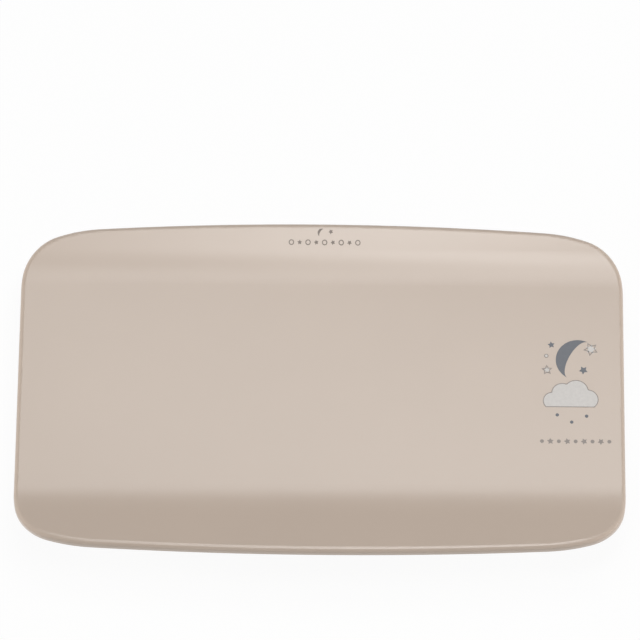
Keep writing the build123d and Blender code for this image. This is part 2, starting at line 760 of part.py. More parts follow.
# ---- Batteries, their contacts and the door ----
first_cell_y = bay_middle_y - (cell_count - 1) * cell_pitch / 2
for number in range(cell_count):
    facing = 1 if number % 2 == 0 else -1  # which way the positive end points
    row_y = first_cell_y + number * cell_pitch
    tip = Plane(
        origin=(facing * (contact_face - aaa_nub), row_y, cell_z_middle),
        x_dir=(0, 1, 0),
        z_dir=(-facing, 0, 0),
    )
    with BuildPart() as battery:
        with BuildSketch(tip):
            Circle(aaa_nub_radius)
        extrude(amount=aaa_nub)
        with BuildSketch(tip.offset(aaa_nub)):
            Circle(aaa_radius)
        extrude(amount=aaa_length)
        fillet(battery.edges().sort_by(Axis.X)[0 if facing > 0 else -1], radius=aaa_round)
    battery.part.label = f"battery_{number + 1}"
    export_step(battery.part, f"parts/battery_{number + 1}.step")

with BuildPart() as battery_contact_plates:
    for side in (-1, 1):
        wall = Plane(
            origin=(side * bay_length / 2, bay_middle_y, cell_z_middle), x_dir=(0, 1, 0), z_dir=(-side, 0, 0)
        )
        with BuildSketch(wall):
            with GridLocations(cell_pitch, 1, cell_count, 1):
                Rectangle(contact_size, contact_size)
        extrude(amount=contact_wall)
    for number in range(cell_count):
        facing = 1 if number % 2 == 0 else -1
        with BuildSketch(
            Plane(
                origin=(facing * contact_face, first_cell_y + number * cell_pitch, cell_z_middle),
                x_dir=(0, 1, 0),
                z_dir=(-facing, 0, 0),
            )
        ):
            Circle(dimple_radius)
        extrude(amount=aaa_nub)
battery_contact_plates.part.label = "battery_contact_plates"
export_step(battery_contact_plates.part, "parts/battery_contact_plates.step")

coil_height = 2 * contact_face - 2 * aaa_nub - aaa_length - spring_wire
coil_steps = round(spring_turns * spring_steps)


def coil_point(step):
    """A point on the spring's centre line, which rises along Z and narrows towards the cell."""
    share = step / coil_steps
    radius = spring_base_radius + share * (spring_tip_radius - spring_base_radius)
    turn = 2 * pi * spring_turns * share
    return (radius * cos(turn), radius * sin(turn), coil_height * share)


with BuildPart() as spring:
    with BuildLine() as coil:
        Spline(*[coil_point(step) for step in range(coil_steps + 1)])
    with BuildSketch(Plane(origin=coil.line @ 0, z_dir=coil.line % 0)):
        Circle(spring_wire / 2)
    sweep(path=coil.line, is_frenet=True)

with BuildPart() as battery_springs:
    for number in range(cell_count):
        facing = 1 if number % 2 == 0 else -1
        coil_x = -facing * (contact_face - spring_wire / 2)
        coil_y = first_cell_y + number * cell_pitch
        coil_seat = Plane(origin=(coil_x, coil_y, cell_z_middle), x_dir=(0, 1, 0), z_dir=(facing, 0, 0))
        with Locations(coil_seat.location):
            add(spring.part)
battery_springs.part.label = "battery_springs"
export_step(battery_springs.part, "parts/battery_springs.step")

door_front_y = hinge_y - door_gap - door_width
arm_y = hinge_y - door_gap - arm_wall
with BuildPart() as battery_door:
    with BuildSketch(Plane.XY.offset(under_z)):
        with Locations((0, bay_middle_y)):
            RectangleRounded(door_length, door_width, opening_corner - door_gap)
    extrude(amount=door_wall)
    # Two hooks that reach over the floor behind the door
    with BuildSketch(Plane.XY.offset(under_z + door_wall / 2)):
        with Locations(*[(place, arm_y + arm_wall / 2) for place in hook_places]):
            Rectangle(hook_width, arm_wall)
    extrude(amount=floor_z + door_gap + hook_wall - under_z - door_wall / 2)
    with BuildSketch(Plane.XY.offset(floor_z + door_gap)):
        hook_depth = arm_wall + door_gap + hook_reach
        with Locations(*[(place, arm_y + hook_depth / 2) for place in hook_places]):
            Rectangle(hook_width, hook_depth)
    extrude(amount=hook_wall)
    # Slit around the latch tongue, and grip grooves on it
    with BuildSketch(Plane.XY.offset(under_z)):
        for side in (-1, 1):
            with Locations((side * latch_width / 2, door_front_y + latch_length / 2)):
                Rectangle(latch_slit, latch_length)
    extrude(amount=door_wall, mode=Mode.SUBTRACT)
    with BuildSketch(Plane.XY.offset(under_z)):
        with Locations((0, door_front_y + latch_length / 2)):
            with GridLocations(1, grip_pitch, 1, grip_count):
                Rectangle(grip_width, latch_slit)
    extrude(amount=latch_slit, mode=Mode.SUBTRACT)
battery_door.part.label = "battery_door"
export_step(battery_door.part, "parts/battery_door.step")


# ---- Leads, clipped to the floor of the lower shell ----
def lead(points, z, radius):
    """A round lead along straight runs joined by tangent arcs, at height z."""
    with BuildPart() as tube:
        with BuildLine(Plane.XY.offset(z)) as route:
            if len(points) > 2:
                FilletPolyline(*points, radius=lead_bend)
            else:
                Line(*points)
        with BuildSketch(Plane(origin=route.line @ 0, z_dir=route.line % 0)):
            Circle(radius)
        sweep(path=route.line)
    return tube.part


for name, points in sensor_routes.items():
    with BuildPart() as sensor_lead:
        add(lead([*points, (points[-1][0], lead_stop_y)], lead_z, lead_radius))
    sensor_lead.part.label = f"sensor_lead_{name}"
    export_step(sensor_lead.part, f"parts/sensor_lead_{name}.step")

battery_lead_z = lead_z + battery_lead_up
bay_front_y = bay_middle_y - bay_width / 2 - bay_wall - lead_end_gap
for name, side in (("red", -1), ("black", 1)):
    with BuildPart() as battery_lead:
        lead_x = battery_header_x + side * lead_spacing / 2
        battery_points = [(lead_x, bay_front_y), (lead_x, header_face_y(battery_lead_z) + lead_end_gap)]
        add(lead(battery_points, battery_lead_z, battery_lead_radius))
    battery_lead.part.label = f"battery_lead_{name}"
    export_step(battery_lead.part, f"parts/battery_lead_{name}.step")


# ---- Screws ----
def pan_screw(head_r, head_h, shank_r, shank):
    """A cross-head screw with its head under z = 0 and its shank above."""
    with BuildPart() as screw:
        with BuildSketch(Plane.XY.offset(-head_h)):
            Circle(head_r)
        extrude(amount=head_h)
        fillet(screw.edges().sort_by(Axis.Z)[0], radius=head_round)
        with BuildSketch():
            Circle(shank_r)
        extrude(amount=shank)
        chamfer(screw.edges().sort_by(Axis.Z)[-1], shank_chamfer)
        with BuildSketch(Plane.XY.offset(-head_h)):
            Rectangle(cross_reach, cross_wall)
            Rectangle(cross_wall, cross_reach)
        extrude(amount=cross_depth, mode=Mode.SUBTRACT)
    return screw.part


with BuildPart() as shell_screws:
    with Locations(*[(x, y, head_seat_z) for x, y in shell_screw_places]):
        add(pan_screw(head_radius, head_height, shank_radius, shell_shank))
shell_screws.part.label = "shell_screws"
export_step(shell_screws.part, "parts/shell_screws.step")

with BuildPart() as tray_screws:
    with Locations((0, 0, ceiling_z)):
        with GridLocations(2 * tray_screw_x, 2 * tray_screw_y, 2, 2):
            add(pan_screw(head_radius, head_height, shank_radius, tray_shank))
tray_screws.part.label = "tray_screws"
export_step(tray_screws.part, "parts/tray_screws.step")

with BuildPart(panel.offset(board_back)) as board_screws:
    with Locations(*[(place, 0) for place in post_places]):
        add(pan_screw(board_head_radius, board_wall, board_shank_radius, board_shank))
board_screws.part.label = "board_screws"
export_step(board_screws.part, "parts/board_screws.step")
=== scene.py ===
"""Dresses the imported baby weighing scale: finishes, prints, display, key symbols and the stage.

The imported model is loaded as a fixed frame, in metres. Every new piece rides on one of its bodies.
"""

import json
import math

import bmesh
import bpy
from mathutils import Matrix, Vector
from mathutils.bvhtree import BVHTree


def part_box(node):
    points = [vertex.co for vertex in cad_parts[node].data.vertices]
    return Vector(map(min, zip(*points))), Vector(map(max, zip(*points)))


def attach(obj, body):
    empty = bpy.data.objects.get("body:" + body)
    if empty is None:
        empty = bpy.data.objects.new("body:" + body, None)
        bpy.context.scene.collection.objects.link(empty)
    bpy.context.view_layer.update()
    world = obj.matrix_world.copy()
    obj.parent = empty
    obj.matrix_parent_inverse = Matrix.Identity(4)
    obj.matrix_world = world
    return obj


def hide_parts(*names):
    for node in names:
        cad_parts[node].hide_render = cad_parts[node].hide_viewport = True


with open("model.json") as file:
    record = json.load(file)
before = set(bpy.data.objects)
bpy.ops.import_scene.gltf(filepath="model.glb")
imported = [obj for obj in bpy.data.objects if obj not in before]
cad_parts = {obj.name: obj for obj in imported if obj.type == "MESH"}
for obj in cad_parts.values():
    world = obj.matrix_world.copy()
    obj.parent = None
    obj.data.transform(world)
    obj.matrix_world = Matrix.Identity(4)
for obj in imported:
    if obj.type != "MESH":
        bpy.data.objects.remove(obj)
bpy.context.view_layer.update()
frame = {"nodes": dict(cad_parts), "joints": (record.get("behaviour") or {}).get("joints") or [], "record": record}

bl_info = {
    "name": "Baby Weighing Scale",
    "version": (1, 0, 0),
    "blender": (4, 5, 0),
    "location": "View3D > Sidebar > Baby Scale",
    "description": "Finishes, prints and stage for a digital baby weighing scale",
    "category": "Add Mesh",
}

MM = 0.001

# ---- Places taken from the frame ----
joints = {joint["name"]: joint for joint in frame["joints"]}
mounts = {mount["name"]: mount for mount in frame["record"]["mounts"]}
dish_level = Vector(mounts["tray_top"]["pos_m"])
panel_right = Vector((1, 0, 0))
panel_normal = -Vector(joints["power_press"]["axis"]).normalized()
panel_up = panel_normal.cross(panel_right)
panel_lean = math.atan2(panel_up.z, panel_up.y)
corners = ("front_left", "front_right", "rear_left", "rear_right")
keys = ("power", "hold", "unit")
plate_middle = Vector((130 * MM, 20 * MM, 0))
ramp_print_middle = Vector((2 * MM, 146 * MM, dish_level.z))
face_down = Matrix.Rotation(math.pi, 4, "X")

# ---- Fixed sizes ----
ROW_PITCH = 7.6  # millimetres between the small shapes of a printed row
PANEL_REACH = 5 * MM  # from how far in front a print is laid on a piece of the control panel
SEGMENT_FILM = 0.05 * MM
BORDER_FILM = 0.03 * MM
MARK_HEIGHT = 0.35 * MM
FOIL_THICKNESS = 0.12 * MM
LAMP_REACH = 1.7  # metres from the dish to every lamp
FLOOR_HALF = 20  # metres


def panel_place(node, proud=0.0):
    """The matrix that puts a flat drawing at the middle of a node's front face on the leaning panel."""
    points = [vertex.co for vertex in frame["nodes"][node].data.vertices]
    across = [point.dot(panel_right) for point in points]
    along = [point.dot(panel_up) for point in points]
    place = panel_right * (min(across) + max(across)) / 2 + panel_up * (min(along) + max(along)) / 2
    place += panel_normal * (max(point.dot(panel_normal) for point in points) + proud)
    return Matrix.Translation(place) @ Matrix((panel_right, panel_up, panel_normal)).transposed().to_4x4()


# ---- Sizes, colours and stage settings ----
def linear(code):
    """An sRGB hex value as the linear colour that the shaders take."""
    channels = [int(code[i : i + 2], 16) / 255 for i in (1, 3, 5)]
    return tuple(c / 12.92 if c <= 0.04045 else ((c + 0.055) / 1.055) ** 2.4 for c in channels) + (1.0,)


def shade(colour, amount):
    """A colour made lighter or darker by a factor."""
    return tuple(min(1.0, channel * amount) for channel in colour[:3]) + (1.0,)


def colour_setting(name, description, code):
    """A colour that a user may change."""
    return bpy.props.FloatVectorProperty(
        name=name, description=description, subtype="COLOR", size=4, min=0, max=1, default=linear(code)
    )


def length_setting(name, description, metres):
    """A length that a user may change."""
    return bpy.props.FloatProperty(
        name=name, description=description, subtype="DISTANCE", unit="LENGTH", default=metres, precision=5
    )


def power_setting(name, description, watts):
    """A lamp's power that a user may change."""
    return bpy.props.FloatProperty(name=name, description=description, unit="POWER", default=watts)


def angle_setting(name, description, degrees):
    """An angle that a user may change."""
    return bpy.props.FloatProperty(
        name=name, description=description, subtype="ANGLE", default=math.radians(degrees)
    )


class ScaleColours(bpy.types.PropertyGroup):
    """Colours of the mouldings, prints and display."""

    tray: colour_setting("Tray", "Warm beige of the tray", "#B9A899")
    base: colour_setting("Base", "Pale beige of the base and the battery door", "#CFC6BB")
    key: colour_setting("Keys", "Off-white of the push buttons", "#EAE6DF")
    foot: colour_setting("Feet", "Colour of the foot caps and load-cell holders", "#CFC9C1")
    pad: colour_setting("Pads", "Grey of the rubber foot pads", "#4A4A4B")
    dark_ink: colour_setting("Dark ink", "Slate grey of the printed motifs", "#64676D")
    pale_ink: colour_setting("Pale ink", "Light grey inside the printed outlines", "#CFCBC7")
    line_ink: colour_setting("Line ink", "Warm grey of the printed outlines", "#8E8680")
    glass: colour_setting("Display", "Grey-green of the display", "#AAB5A4")
    segment: colour_setting("Segments", "Near-black of the display's lit segments", "#1D2320")


class ScaleSizes(bpy.types.PropertyGroup):
    """Sizes of the prints, the display's figures and the key symbols."""

    film: length_setting("Ink film", "Thickness of the printed ink", 0.04 * MM)
    outline: length_setting("Outline", "Width of the printed outlines", 0.8 * MM)
    moon: length_setting("Moon", "Height of the printed moon", 40 * MM)
    cloud: length_setting("Cloud", "Width of the printed cloud", 52 * MM)
    star: length_setting("Star", "Width of the largest printed star", 14 * MM)
    motif_x: length_setting("Motif across", "Middle of the motif, right of the dish's middle", 226 * MM)
    motif_y: length_setting("Motif along", "Middle of the motif, behind the dish's middle", 11.6 * MM)
    figure: length_setting("Figures", "Height of the display's figures", 10.5 * MM)
    symbol: length_setting("Symbols", "Height of a key's symbol", 5.6 * MM)
    pad_radius: length_setting("Pad radius", "Radius of a rubber foot pad", 17 * MM)
    pad_height: length_setting("Pad height", "Thickness of a rubber foot pad", 2.7 * MM)


class StageSettings(bpy.types.PropertyGroup):
    """Camera and lamps."""

    azimuth: angle_setting("Azimuth", "Camera's turn to the right", 0.57)
    elevation: angle_setting("Elevation", "Camera's angle above the floor", 66)
    lens: bpy.props.FloatProperty(name="Lens", description="Focal length in millimetres", default=312.6)
    distance: length_setting("Distance", "From the camera to the dish's middle", 5.034)
    aim_rise: length_setting("Aim rise", "How far above the dish's middle the camera aims", 0.0648)
    aim_side: length_setting("Aim side", "How far right of the dish's middle the camera aims", -0.00076)
    overhead: power_setting("Overhead softbox", "Power of the large softbox straight above", 3.2)
    front_panel: power_setting("Front panel", "Power of the panel just in front of the middle", 7.1)
    rear_panel: power_setting("Rear panel", "Power of the wide panel behind the middle", 8.6)
    side_card: power_setting("Side cards", "Power of each low card on the left and on the right", 13.0)
    front_card: power_setting("Front card", "Power of the low card in front", 6.0)
    rear_card: power_setting("Rear card", "Power of the low card behind", 0.5)
    room: bpy.props.FloatProperty(
        name="Room", description="Strength of the light from all round", default=0.12
    )


# ---- Materials ----
def add_node(tree, kind, inputs=None, **settings):
    """Adds a node with its settings; an input takes a value, or the output of another node to link from."""
    node = tree.nodes.new("ShaderNode" + kind)
    for name, value in settings.items():
        setattr(node, name, value)
    for name, value in (inputs or {}).items():
        if isinstance(value, bpy.types.NodeSocket):
            tree.links.new(value, node.inputs[name])
        else:
            node.inputs[name].default_value = value
    return node


def new_material(name):
    """An empty node material: its tree and its object-space coordinates."""
    material = bpy.data.materials.new(name)
    material.use_nodes = True
    tree = material.node_tree
    tree.nodes.clear()
    return material, tree, add_node(tree, "TexCoord").outputs["Object"]


def satin_abs(name, colour, roughness, sheen=0.5):
    """ABS moulded in spark-eroded steel: one even colour with a soft satin sheen, stronger where the plastic
    is lacquered. The melt's flow shifts the tint by a few percent over a hand's width. The eroded grain is
    about 0.1 mm; it is drawn at 0.9 mm so it shows."""
    material, tree, place = new_material(name)
    flow = add_node(tree, "TexNoise", {"Vector": place, "Scale": 1 / (80 * MM), "Detail": 2})
    skin = add_node(
        tree, "TexNoise", {"Vector": place, "Scale": 1 / (0.9 * MM), "Detail": 3, "Roughness": 0.6}
    )
    tint = add_node(
        tree,
        "Mix",
        {"Factor": flow.outputs["Fac"], 6: shade(colour, 0.975), 7: shade(colour, 1.025)},
        data_type="RGBA",
    )
    gloss = add_node(
        tree,
        "MapRange",
        {
            "Value": skin.outputs["Fac"],
            "From Min": 0.3,
            "From Max": 0.7,
            "To Min": roughness - 0.04,
            "To Max": roughness + 0.04,
        },
    )
    relief = add_node(tree, "Bump", {"Height": skin.outputs["Fac"], "Strength": 0.1, "Distance": 0.02 * MM})
    shader = add_node(
        tree,
        "BsdfPrincipled",
        {
            "Base Color": tint.outputs[2],
            "Roughness": gloss.outputs["Result"],
            "Normal": relief.outputs["Normal"],
            "IOR": 1.53,
            "Specular IOR Level": sheen,
        },
    )
    add_node(tree, "OutputMaterial", {"Surface": shader.outputs["BSDF"]})
    return material


def moulded_rubber(name, colour):
    """Moulded thermoplastic rubber: dark, matt and soft, with a dusty bloom in patches and a pitted skin."""
    material, tree, place = new_material(name)
    bloom = add_node(tree, "TexNoise", {"Vector": place, "Scale": 1 / (9 * MM), "Detail": 5})
    pits = add_node(tree, "TexNoise", {"Vector": place, "Scale": 1 / (0.5 * MM), "Detail": 2})
    tint = add_node(
        tree,
        "Mix",
        {"Factor": bloom.outputs["Fac"], 6: shade(colour, 0.8), 7: shade(colour, 1.5)},
        data_type="RGBA",
    )
    gloss = add_node(tree, "MapRange", {"Value": bloom.outputs["Fac"], "To Min": 0.65, "To Max": 0.95})
    relief = add_node(tree, "Bump", {"Height": pits.outputs["Fac"], "Strength": 0.4, "Distance": 0.06 * MM})
    shader = add_node(
        tree,
        "BsdfPrincipled",
        {
            "Base Color": tint.outputs[2],
            "Roughness": gloss.outputs["Result"],
            "Normal": relief.outputs["Normal"],
            "IOR": 1.5,
        },
    )
    add_node(tree, "OutputMaterial", {"Surface": shader.outputs["BSDF"]})
    return material


def rolled_steel(name, code, roughness, line=0.25 * MM):
    """Rolled metal strip, plated or bare: bright, with fine lines along the roll and a slightly cloudy face.
    The rolling lines are about 0.05 mm apart; they are drawn coarser so they show."""
    material, tree, place = new_material(name)
    colour = linear(code)
    along = add_node(tree, "Mapping", {"Vector": place, "Scale": (0.08, 1, 1)})
    lines = add_node(tree, "TexNoise", {"Vector": along.outputs["Vector"], "Scale": 1 / line, "Detail": 3})
    cloud = add_node(tree, "TexNoise", {"Vector": place, "Scale": 1 / (5 * MM), "Detail": 2})
    tint = add_node(
        tree,
        "Mix",
        {"Factor": cloud.outputs["Fac"], 6: shade(colour, 0.85), 7: shade(colour, 1.1)},
        data_type="RGBA",
    )
    gloss = add_node(
        tree,
        "MapRange",
        {"Value": lines.outputs["Fac"], "To Min": roughness - 0.1, "To Max": roughness + 0.12},
    )
    relief = add_node(tree, "Bump", {"Height": lines.outputs["Fac"], "Strength": 0.25, "Distance": 0.01 * MM})
    shader = add_node(
        tree,
        "BsdfPrincipled",
        {
            "Base Color": tint.outputs[2],
            "Metallic": 1.0,
            "Roughness": gloss.outputs["Result"],
            "Normal": relief.outputs["Normal"],
        },
    )
    add_node(tree, "OutputMaterial", {"Surface": shader.outputs["BSDF"]})
    return material


def extruded_pvc(name, code):
    """PVC drawn over stranded wire: smooth and waxy, with slow ripples where the strands lie under it."""
    material, tree, place = new_material(name)
    colour = linear(code)
    ripple = add_node(tree, "TexNoise", {"Vector": place, "Scale": 1 / (2.5 * MM), "Detail": 2})
    tint = add_node(
        tree,
        "Mix",
        {"Factor": ripple.outputs["Fac"], 6: shade(colour, 0.8), 7: shade(colour, 1.2)},
        data_type="RGBA",
    )
    gloss = add_node(tree, "MapRange", {"Value": ripple.outputs["Fac"], "To Min": 0.32, "To Max": 0.48})
    relief = add_node(tree, "Bump", {"Height": ripple.outputs["Fac"], "Strength": 0.2, "Distance": 0.05 * MM})
    shader = add_node(
        tree,
        "BsdfPrincipled",
        {
            "Base Color": tint.outputs[2],
            "Roughness": gloss.outputs["Result"],
            "Normal": relief.outputs["Normal"],
            "IOR": 1.52,
        },
    )
    add_node(tree, "OutputMaterial", {"Surface": shader.outputs["BSDF"]})
    return material


def polished_acrylic(name):
    """Injection-moulded clear acrylic: water-clear and glossy, with faint hairline wiping marks."""
    material, tree, place = new_material(name)
    wiped = add_node(tree, "Mapping", {"Vector": place, "Scale": (0.06, 1, 1)})
    hairs = add_node(
        tree, "TexNoise", {"Vector": wiped.outputs["Vector"], "Scale": 1 / (0.6 * MM), "Detail": 4}
    )
    tint = add_node(
        tree,
        "Mix",
        {"Factor": hairs.outputs["Fac"], 6: linear("#F4F6F5"), 7: linear("#FFFFFF")},
        data_type="RGBA",
    )
    gloss = add_node(tree, "MapRange", {"Value": hairs.outputs["Fac"], "To Min": 0.0, "To Max": 0.09})
    shader = add_node(
        tree,
        "BsdfPrincipled",
        {
            "Base Color": tint.outputs[2],
            "Roughness": gloss.outputs["Result"],
            "IOR": 1.49,
            "Transmission Weight": 1.0,
        },
    )
    add_node(tree, "OutputMaterial", {"Surface": shader.outputs["BSDF"]})
    return material


def display_glass(name, colour):
    """Liquid-crystal glass over a pale polariser: grey-green, glossy, with a faint mottle in the reflector
    foil. It glows faintly with painted light: an emission stands in for light reaching it through the clear
    window."""
    material, tree, place = new_material(name)
    mottle = add_node(tree, "TexNoise", {"Vector": place, "Scale": 1 / (0.5 * MM), "Detail": 3})
    tint = add_node(
        tree,
        "Mix",
        {"Factor": mottle.outputs["Fac"], 6: shade(colour, 0.94), 7: shade(colour, 1.06)},
        data_type="RGBA",
    )
    gloss = add_node(tree, "MapRange", {"Value": mottle.outputs["Fac"], "To Min": 0.1, "To Max": 0.22})
    shader = add_node(
        tree,
        "BsdfPrincipled",
        {
            "Base Color": tint.outputs[2],
            "Roughness": gloss.outputs["Result"],
            "IOR": 1.52,
            # Painted glow: this emission lights the glass as no lamp does, so it shows behind the clear window
            "Emission Color": colour,
            "Emission Strength": 0.35,
        },
    )
    add_node(tree, "OutputMaterial", {"Surface": shader.outputs["BSDF"]})
    return material


def frosted_guide(name):
    """Frosted acrylic light guide: milky and translucent, printed with a grid of fine dots. The real dots are
    0.3 mm apart; they are drawn at 0.8 mm so they show."""
    material, tree, place = new_material(name)
    dots = add_node(tree, "TexVoronoi", {"Vector": place, "Scale": 1 / (0.8 * MM), "Randomness": 0.0})
    tint = add_node(
        tree,
        "Mix",
        {"Factor": dots.outputs["Distance"], 6: linear("#F7F9F8"), 7: linear("#DDE3E1")},
        data_type="RGBA",
    )
    gloss = add_node(tree, "MapRange", {"Value": dots.outputs["Distance"], "To Min": 0.35, "To Max": 0.6})
    shader = add_node(
        tree,
        "BsdfPrincipled",
        {
            "Base Color": tint.outputs[2],
            "Roughness": gloss.outputs["Result"],
            "IOR": 1.49,
            "Subsurface Weight": 0.4,
            "Subsurface Scale": 2 * MM,
        },
    )
    add_node(tree, "OutputMaterial", {"Surface": shader.outputs["BSDF"]})
    return material


def striped_silicone(name):
    """Elastomer connector: soft silicone with carbon-filled stripes across it. The real stripes are 0.18 mm
    apart; they are drawn at 0.8 mm so they show."""
    material, tree, place = new_material(name)
    # The wave repeats every pi / 10 over its scale
    stripes = add_node(
        tree,
        "TexWave",
        {"Vector": place, "Scale": 0.314 / (0.8 * MM), "Distortion": 0.0},
        bands_direction="X",
    )
    tint = add_node(
        tree,
        "Mix",
        {"Factor": stripes.outputs["Fac"], 6: linear("#3A3538"), 7: linear("#E3D5DA")},
        data_type="RGBA",
    )
    gloss = add_node(tree, "MapRange", {"Value": stripes.outputs["Fac"], "To Min": 0.5, "To Max": 0.65})
    shader = add_node(
        tree,
        "BsdfPrincipled",
        {"Base Color": tint.outputs[2], "Roughness": gloss.outputs["Result"], "IOR": 1.43},
    )
    add_node(tree, "OutputMaterial", {"Surface": shader.outputs["BSDF"]})
    return material


def solder_mask(name):
    """Glass laminate under green solder mask: glossy, with the copper's lighter runs showing through."""
    material, tree, place = new_material(name)
    turned = add_node(tree, "Mapping", {"Vector": place, "Rotation": (-panel_lean, 0, 0)})
    runs = add_node(
        tree,
        "TexBrick",
        {
            "Vector": turned.outputs["Vector"],
            "Color1": linear("#1A5A38"),
            "Color2": linear("#1D6640"),
            "Mortar": linear("#2F8455"),
            "Scale": 1.0,
            "Mortar Size": 0.35 * MM,
            "Brick Width": 6 * MM,
            "Row Height": 2 * MM,
        },
    )
    weave = add_node(tree, "TexNoise", {"Vector": place, "Scale": 1 / (0.8 * MM), "Detail": 2})
    gloss = add_node(tree, "MapRange", {"Value": weave.outputs["Fac"], "To Min": 0.25, "To Max": 0.42})
    relief = add_node(tree, "Bump", {"Height": runs.outputs["Fac"], "Strength": 0.3, "Distance": 0.035 * MM})
    shader = add_node(
        tree,
        "BsdfPrincipled",
        {
            "Base Color": runs.outputs["Color"],
            "Roughness": gloss.outputs["Result"],
            "Normal": relief.outputs["Normal"],
            "IOR": 1.5,
        },
    )
    add_node(tree, "OutputMaterial", {"Surface": shader.outputs["BSDF"]})
    return material


def filled_moulding(name, code, roughness):
    """Filled epoxy or nylon: nearly black, dry and matt, with pale specks of filler in the skin."""
    material, tree, place = new_material(name)
    colour = linear(code)
    specks = add_node(tree, "TexVoronoi", {"Vector": place, "Scale": 1 / (0.5 * MM)})
    skin = add_node(tree, "TexNoise", {"Vector": place, "Scale": 1 / (0.7 * MM), "Detail": 4})
    tint = add_node(
        tree,
        "Mix",
        {"Factor": specks.outputs["Distance"], 6: shade(colour, 1.6), 7: shade(colour, 0.8)},
        data_type="RGBA",
    )
    gloss = add_node(
        tree, "MapRange", {"Value": skin.outputs["Fac"], "To Min": roughness - 0.1, "To Max": roughness + 0.1}
    )
    relief = add_node(tree, "Bump", {"Height": skin.outputs["Fac"], "Strength": 0.25, "Distance": 0.03 * MM})
    shader = add_node(
        tree,
        "BsdfPrincipled",
        {
            "Base Color": tint.outputs[2],
            "Roughness": gloss.outputs["Result"],
            "Normal": relief.outputs["Normal"],
            "IOR": 1.55,
        },
    )
    add_node(tree, "OutputMaterial", {"Surface": shader.outputs["BSDF"]})
    return material


def cell_jacket(name, plus_side):
    """Lacquered steel can of a dry cell: pale gold, with a charcoal band at the end with the button. It is
    metallic under clear lacquer, with faint drawing marks along the can."""
    material, tree, place = new_material(name)
    parts = add_node(tree, "SeparateXYZ", {"Vector": place})
    band = add_node(
        tree,
        "MapRange",
        {
            "Value": parts.outputs["X"],
            "From Min": plus_side * 11 * MM,
            "From Max": plus_side * 11.3 * MM,
        },
    )
    drawn = add_node(tree, "Mapping", {"Vector": place, "Scale": (0.05, 1, 1)})
    marks = add_node(
        tree, "TexNoise", {"Vector": drawn.outputs["Vector"], "Scale": 1 / (0.5 * MM), "Detail": 3}
    )
    tint = add_node(
        tree,
        "Mix",
        {"Factor": band.outputs["Result"], 6: linear("#C9C09A"), 7: linear("#4B4C50")},
        data_type="RGBA",
    )
    gloss = add_node(tree, "MapRange", {"Value": marks.outputs["Fac"], "To Min": 0.22, "To Max": 0.4})
    relief = add_node(tree, "Bump", {"Height": marks.outputs["Fac"], "Strength": 0.15, "Distance": 0.01 * MM})
    shader = add_node(
        tree,
        "BsdfPrincipled",
        {
            "Base Color": tint.outputs[2],
            "Metallic": 0.7,
            "Roughness": gloss.outputs["Result"],
            "Normal": relief.outputs["Normal"],
        },
    )
    add_node(tree, "OutputMaterial", {"Surface": shader.outputs["BSDF"]})
    return material


def printed_ink(name, colour, roughness=0.5):
    """Pad-printed two-part ink: flat and matt, a little thinner in places where the pad lifted, with a fine
    orange-peel skin."""
    material, tree, place = new_material(name)
    coat = add_node(tree, "TexNoise", {"Vector": place, "Scale": 1 / (3 * MM), "Detail": 4})
    peel = add_node(tree, "TexNoise", {"Vector": place, "Scale": 1 / (0.4 * MM), "Detail": 2})
    tint = add_node(
        tree,
        "Mix",
        {"Factor": coat.outputs["Fac"], 6: shade(colour, 0.9), 7: shade(colour, 1.12)},
        data_type="RGBA",
    )
    gloss = add_node(
        tree,
        "MapRange",
        {"Value": peel.outputs["Fac"], "To Min": roughness - 0.06, "To Max": roughness + 0.06},
    )
    relief = add_node(tree, "Bump", {"Height": peel.outputs["Fac"], "Strength": 0.15, "Distance": 0.01 * MM})
    shader = add_node(
        tree,
        "BsdfPrincipled",
        {
            "Base Color": tint.outputs[2],
            "Roughness": gloss.outputs["Result"],
            "Normal": relief.outputs["Normal"],
            "IOR": 1.5,
        },
    )
    add_node(tree, "OutputMaterial", {"Surface": shader.outputs["BSDF"]})
    return material


def slot_index():
    """Every CAD material slot by the name of the record's slot that it came with."""
    found = {}
    for node in frame["nodes"].values():
        for index, slot in enumerate(node.material_slots):
            found.setdefault(slot.material.name, []).append((node, index))
    return found


cad_slots = slot_index()


def dress(slot_name, material):
    """Gives a material to every CAD node that has that slot of the record."""
    for node, index in cad_slots[slot_name]:
        node.material_slots[index].material = material


# ---- Drawing flat shapes, in metres, round the drawing's own middle ----
def draw_star(bm, width, softness=0.05, points=5, waist=0.5):
    """A star, with softened points unless its outline is drawn."""
    ring = bmesh.ops.create_circle(bm, cap_ends=True, radius=width / 2, segments=2 * points)["verts"]
    bmesh.ops.scale(bm, vec=(waist, waist, 1), verts=ring[1::2])
    bmesh.ops.rotate(bm, verts=ring, matrix=Matrix.Rotation(math.radians(90), 3, "Z"))
    if softness:
        bmesh.ops.bevel(
            bm, geom=ring, offset=width * softness, segments=3, profile=0.5, affect="VERTICES", material=-1
        )


def draw_disc(bm, width, segments=32):
    """A plain round dot."""
    bmesh.ops.create_circle(bm, cap_ends=True, radius=width / 2, segments=segments)


def draw_crescent(bm, height):
    """A moon: one side of a circle, but for its two tips, is folded back into the other."""
    folded, tip = -0.42, height * 0.001
    ring = bmesh.ops.create_circle(bm, cap_ends=True, radius=height / 2, segments=72)["verts"]
    far_side = [vertex for vertex in ring if vertex.co.x > tip]
    bmesh.ops.scale(bm, vec=(folded, 1, 1), verts=far_side)


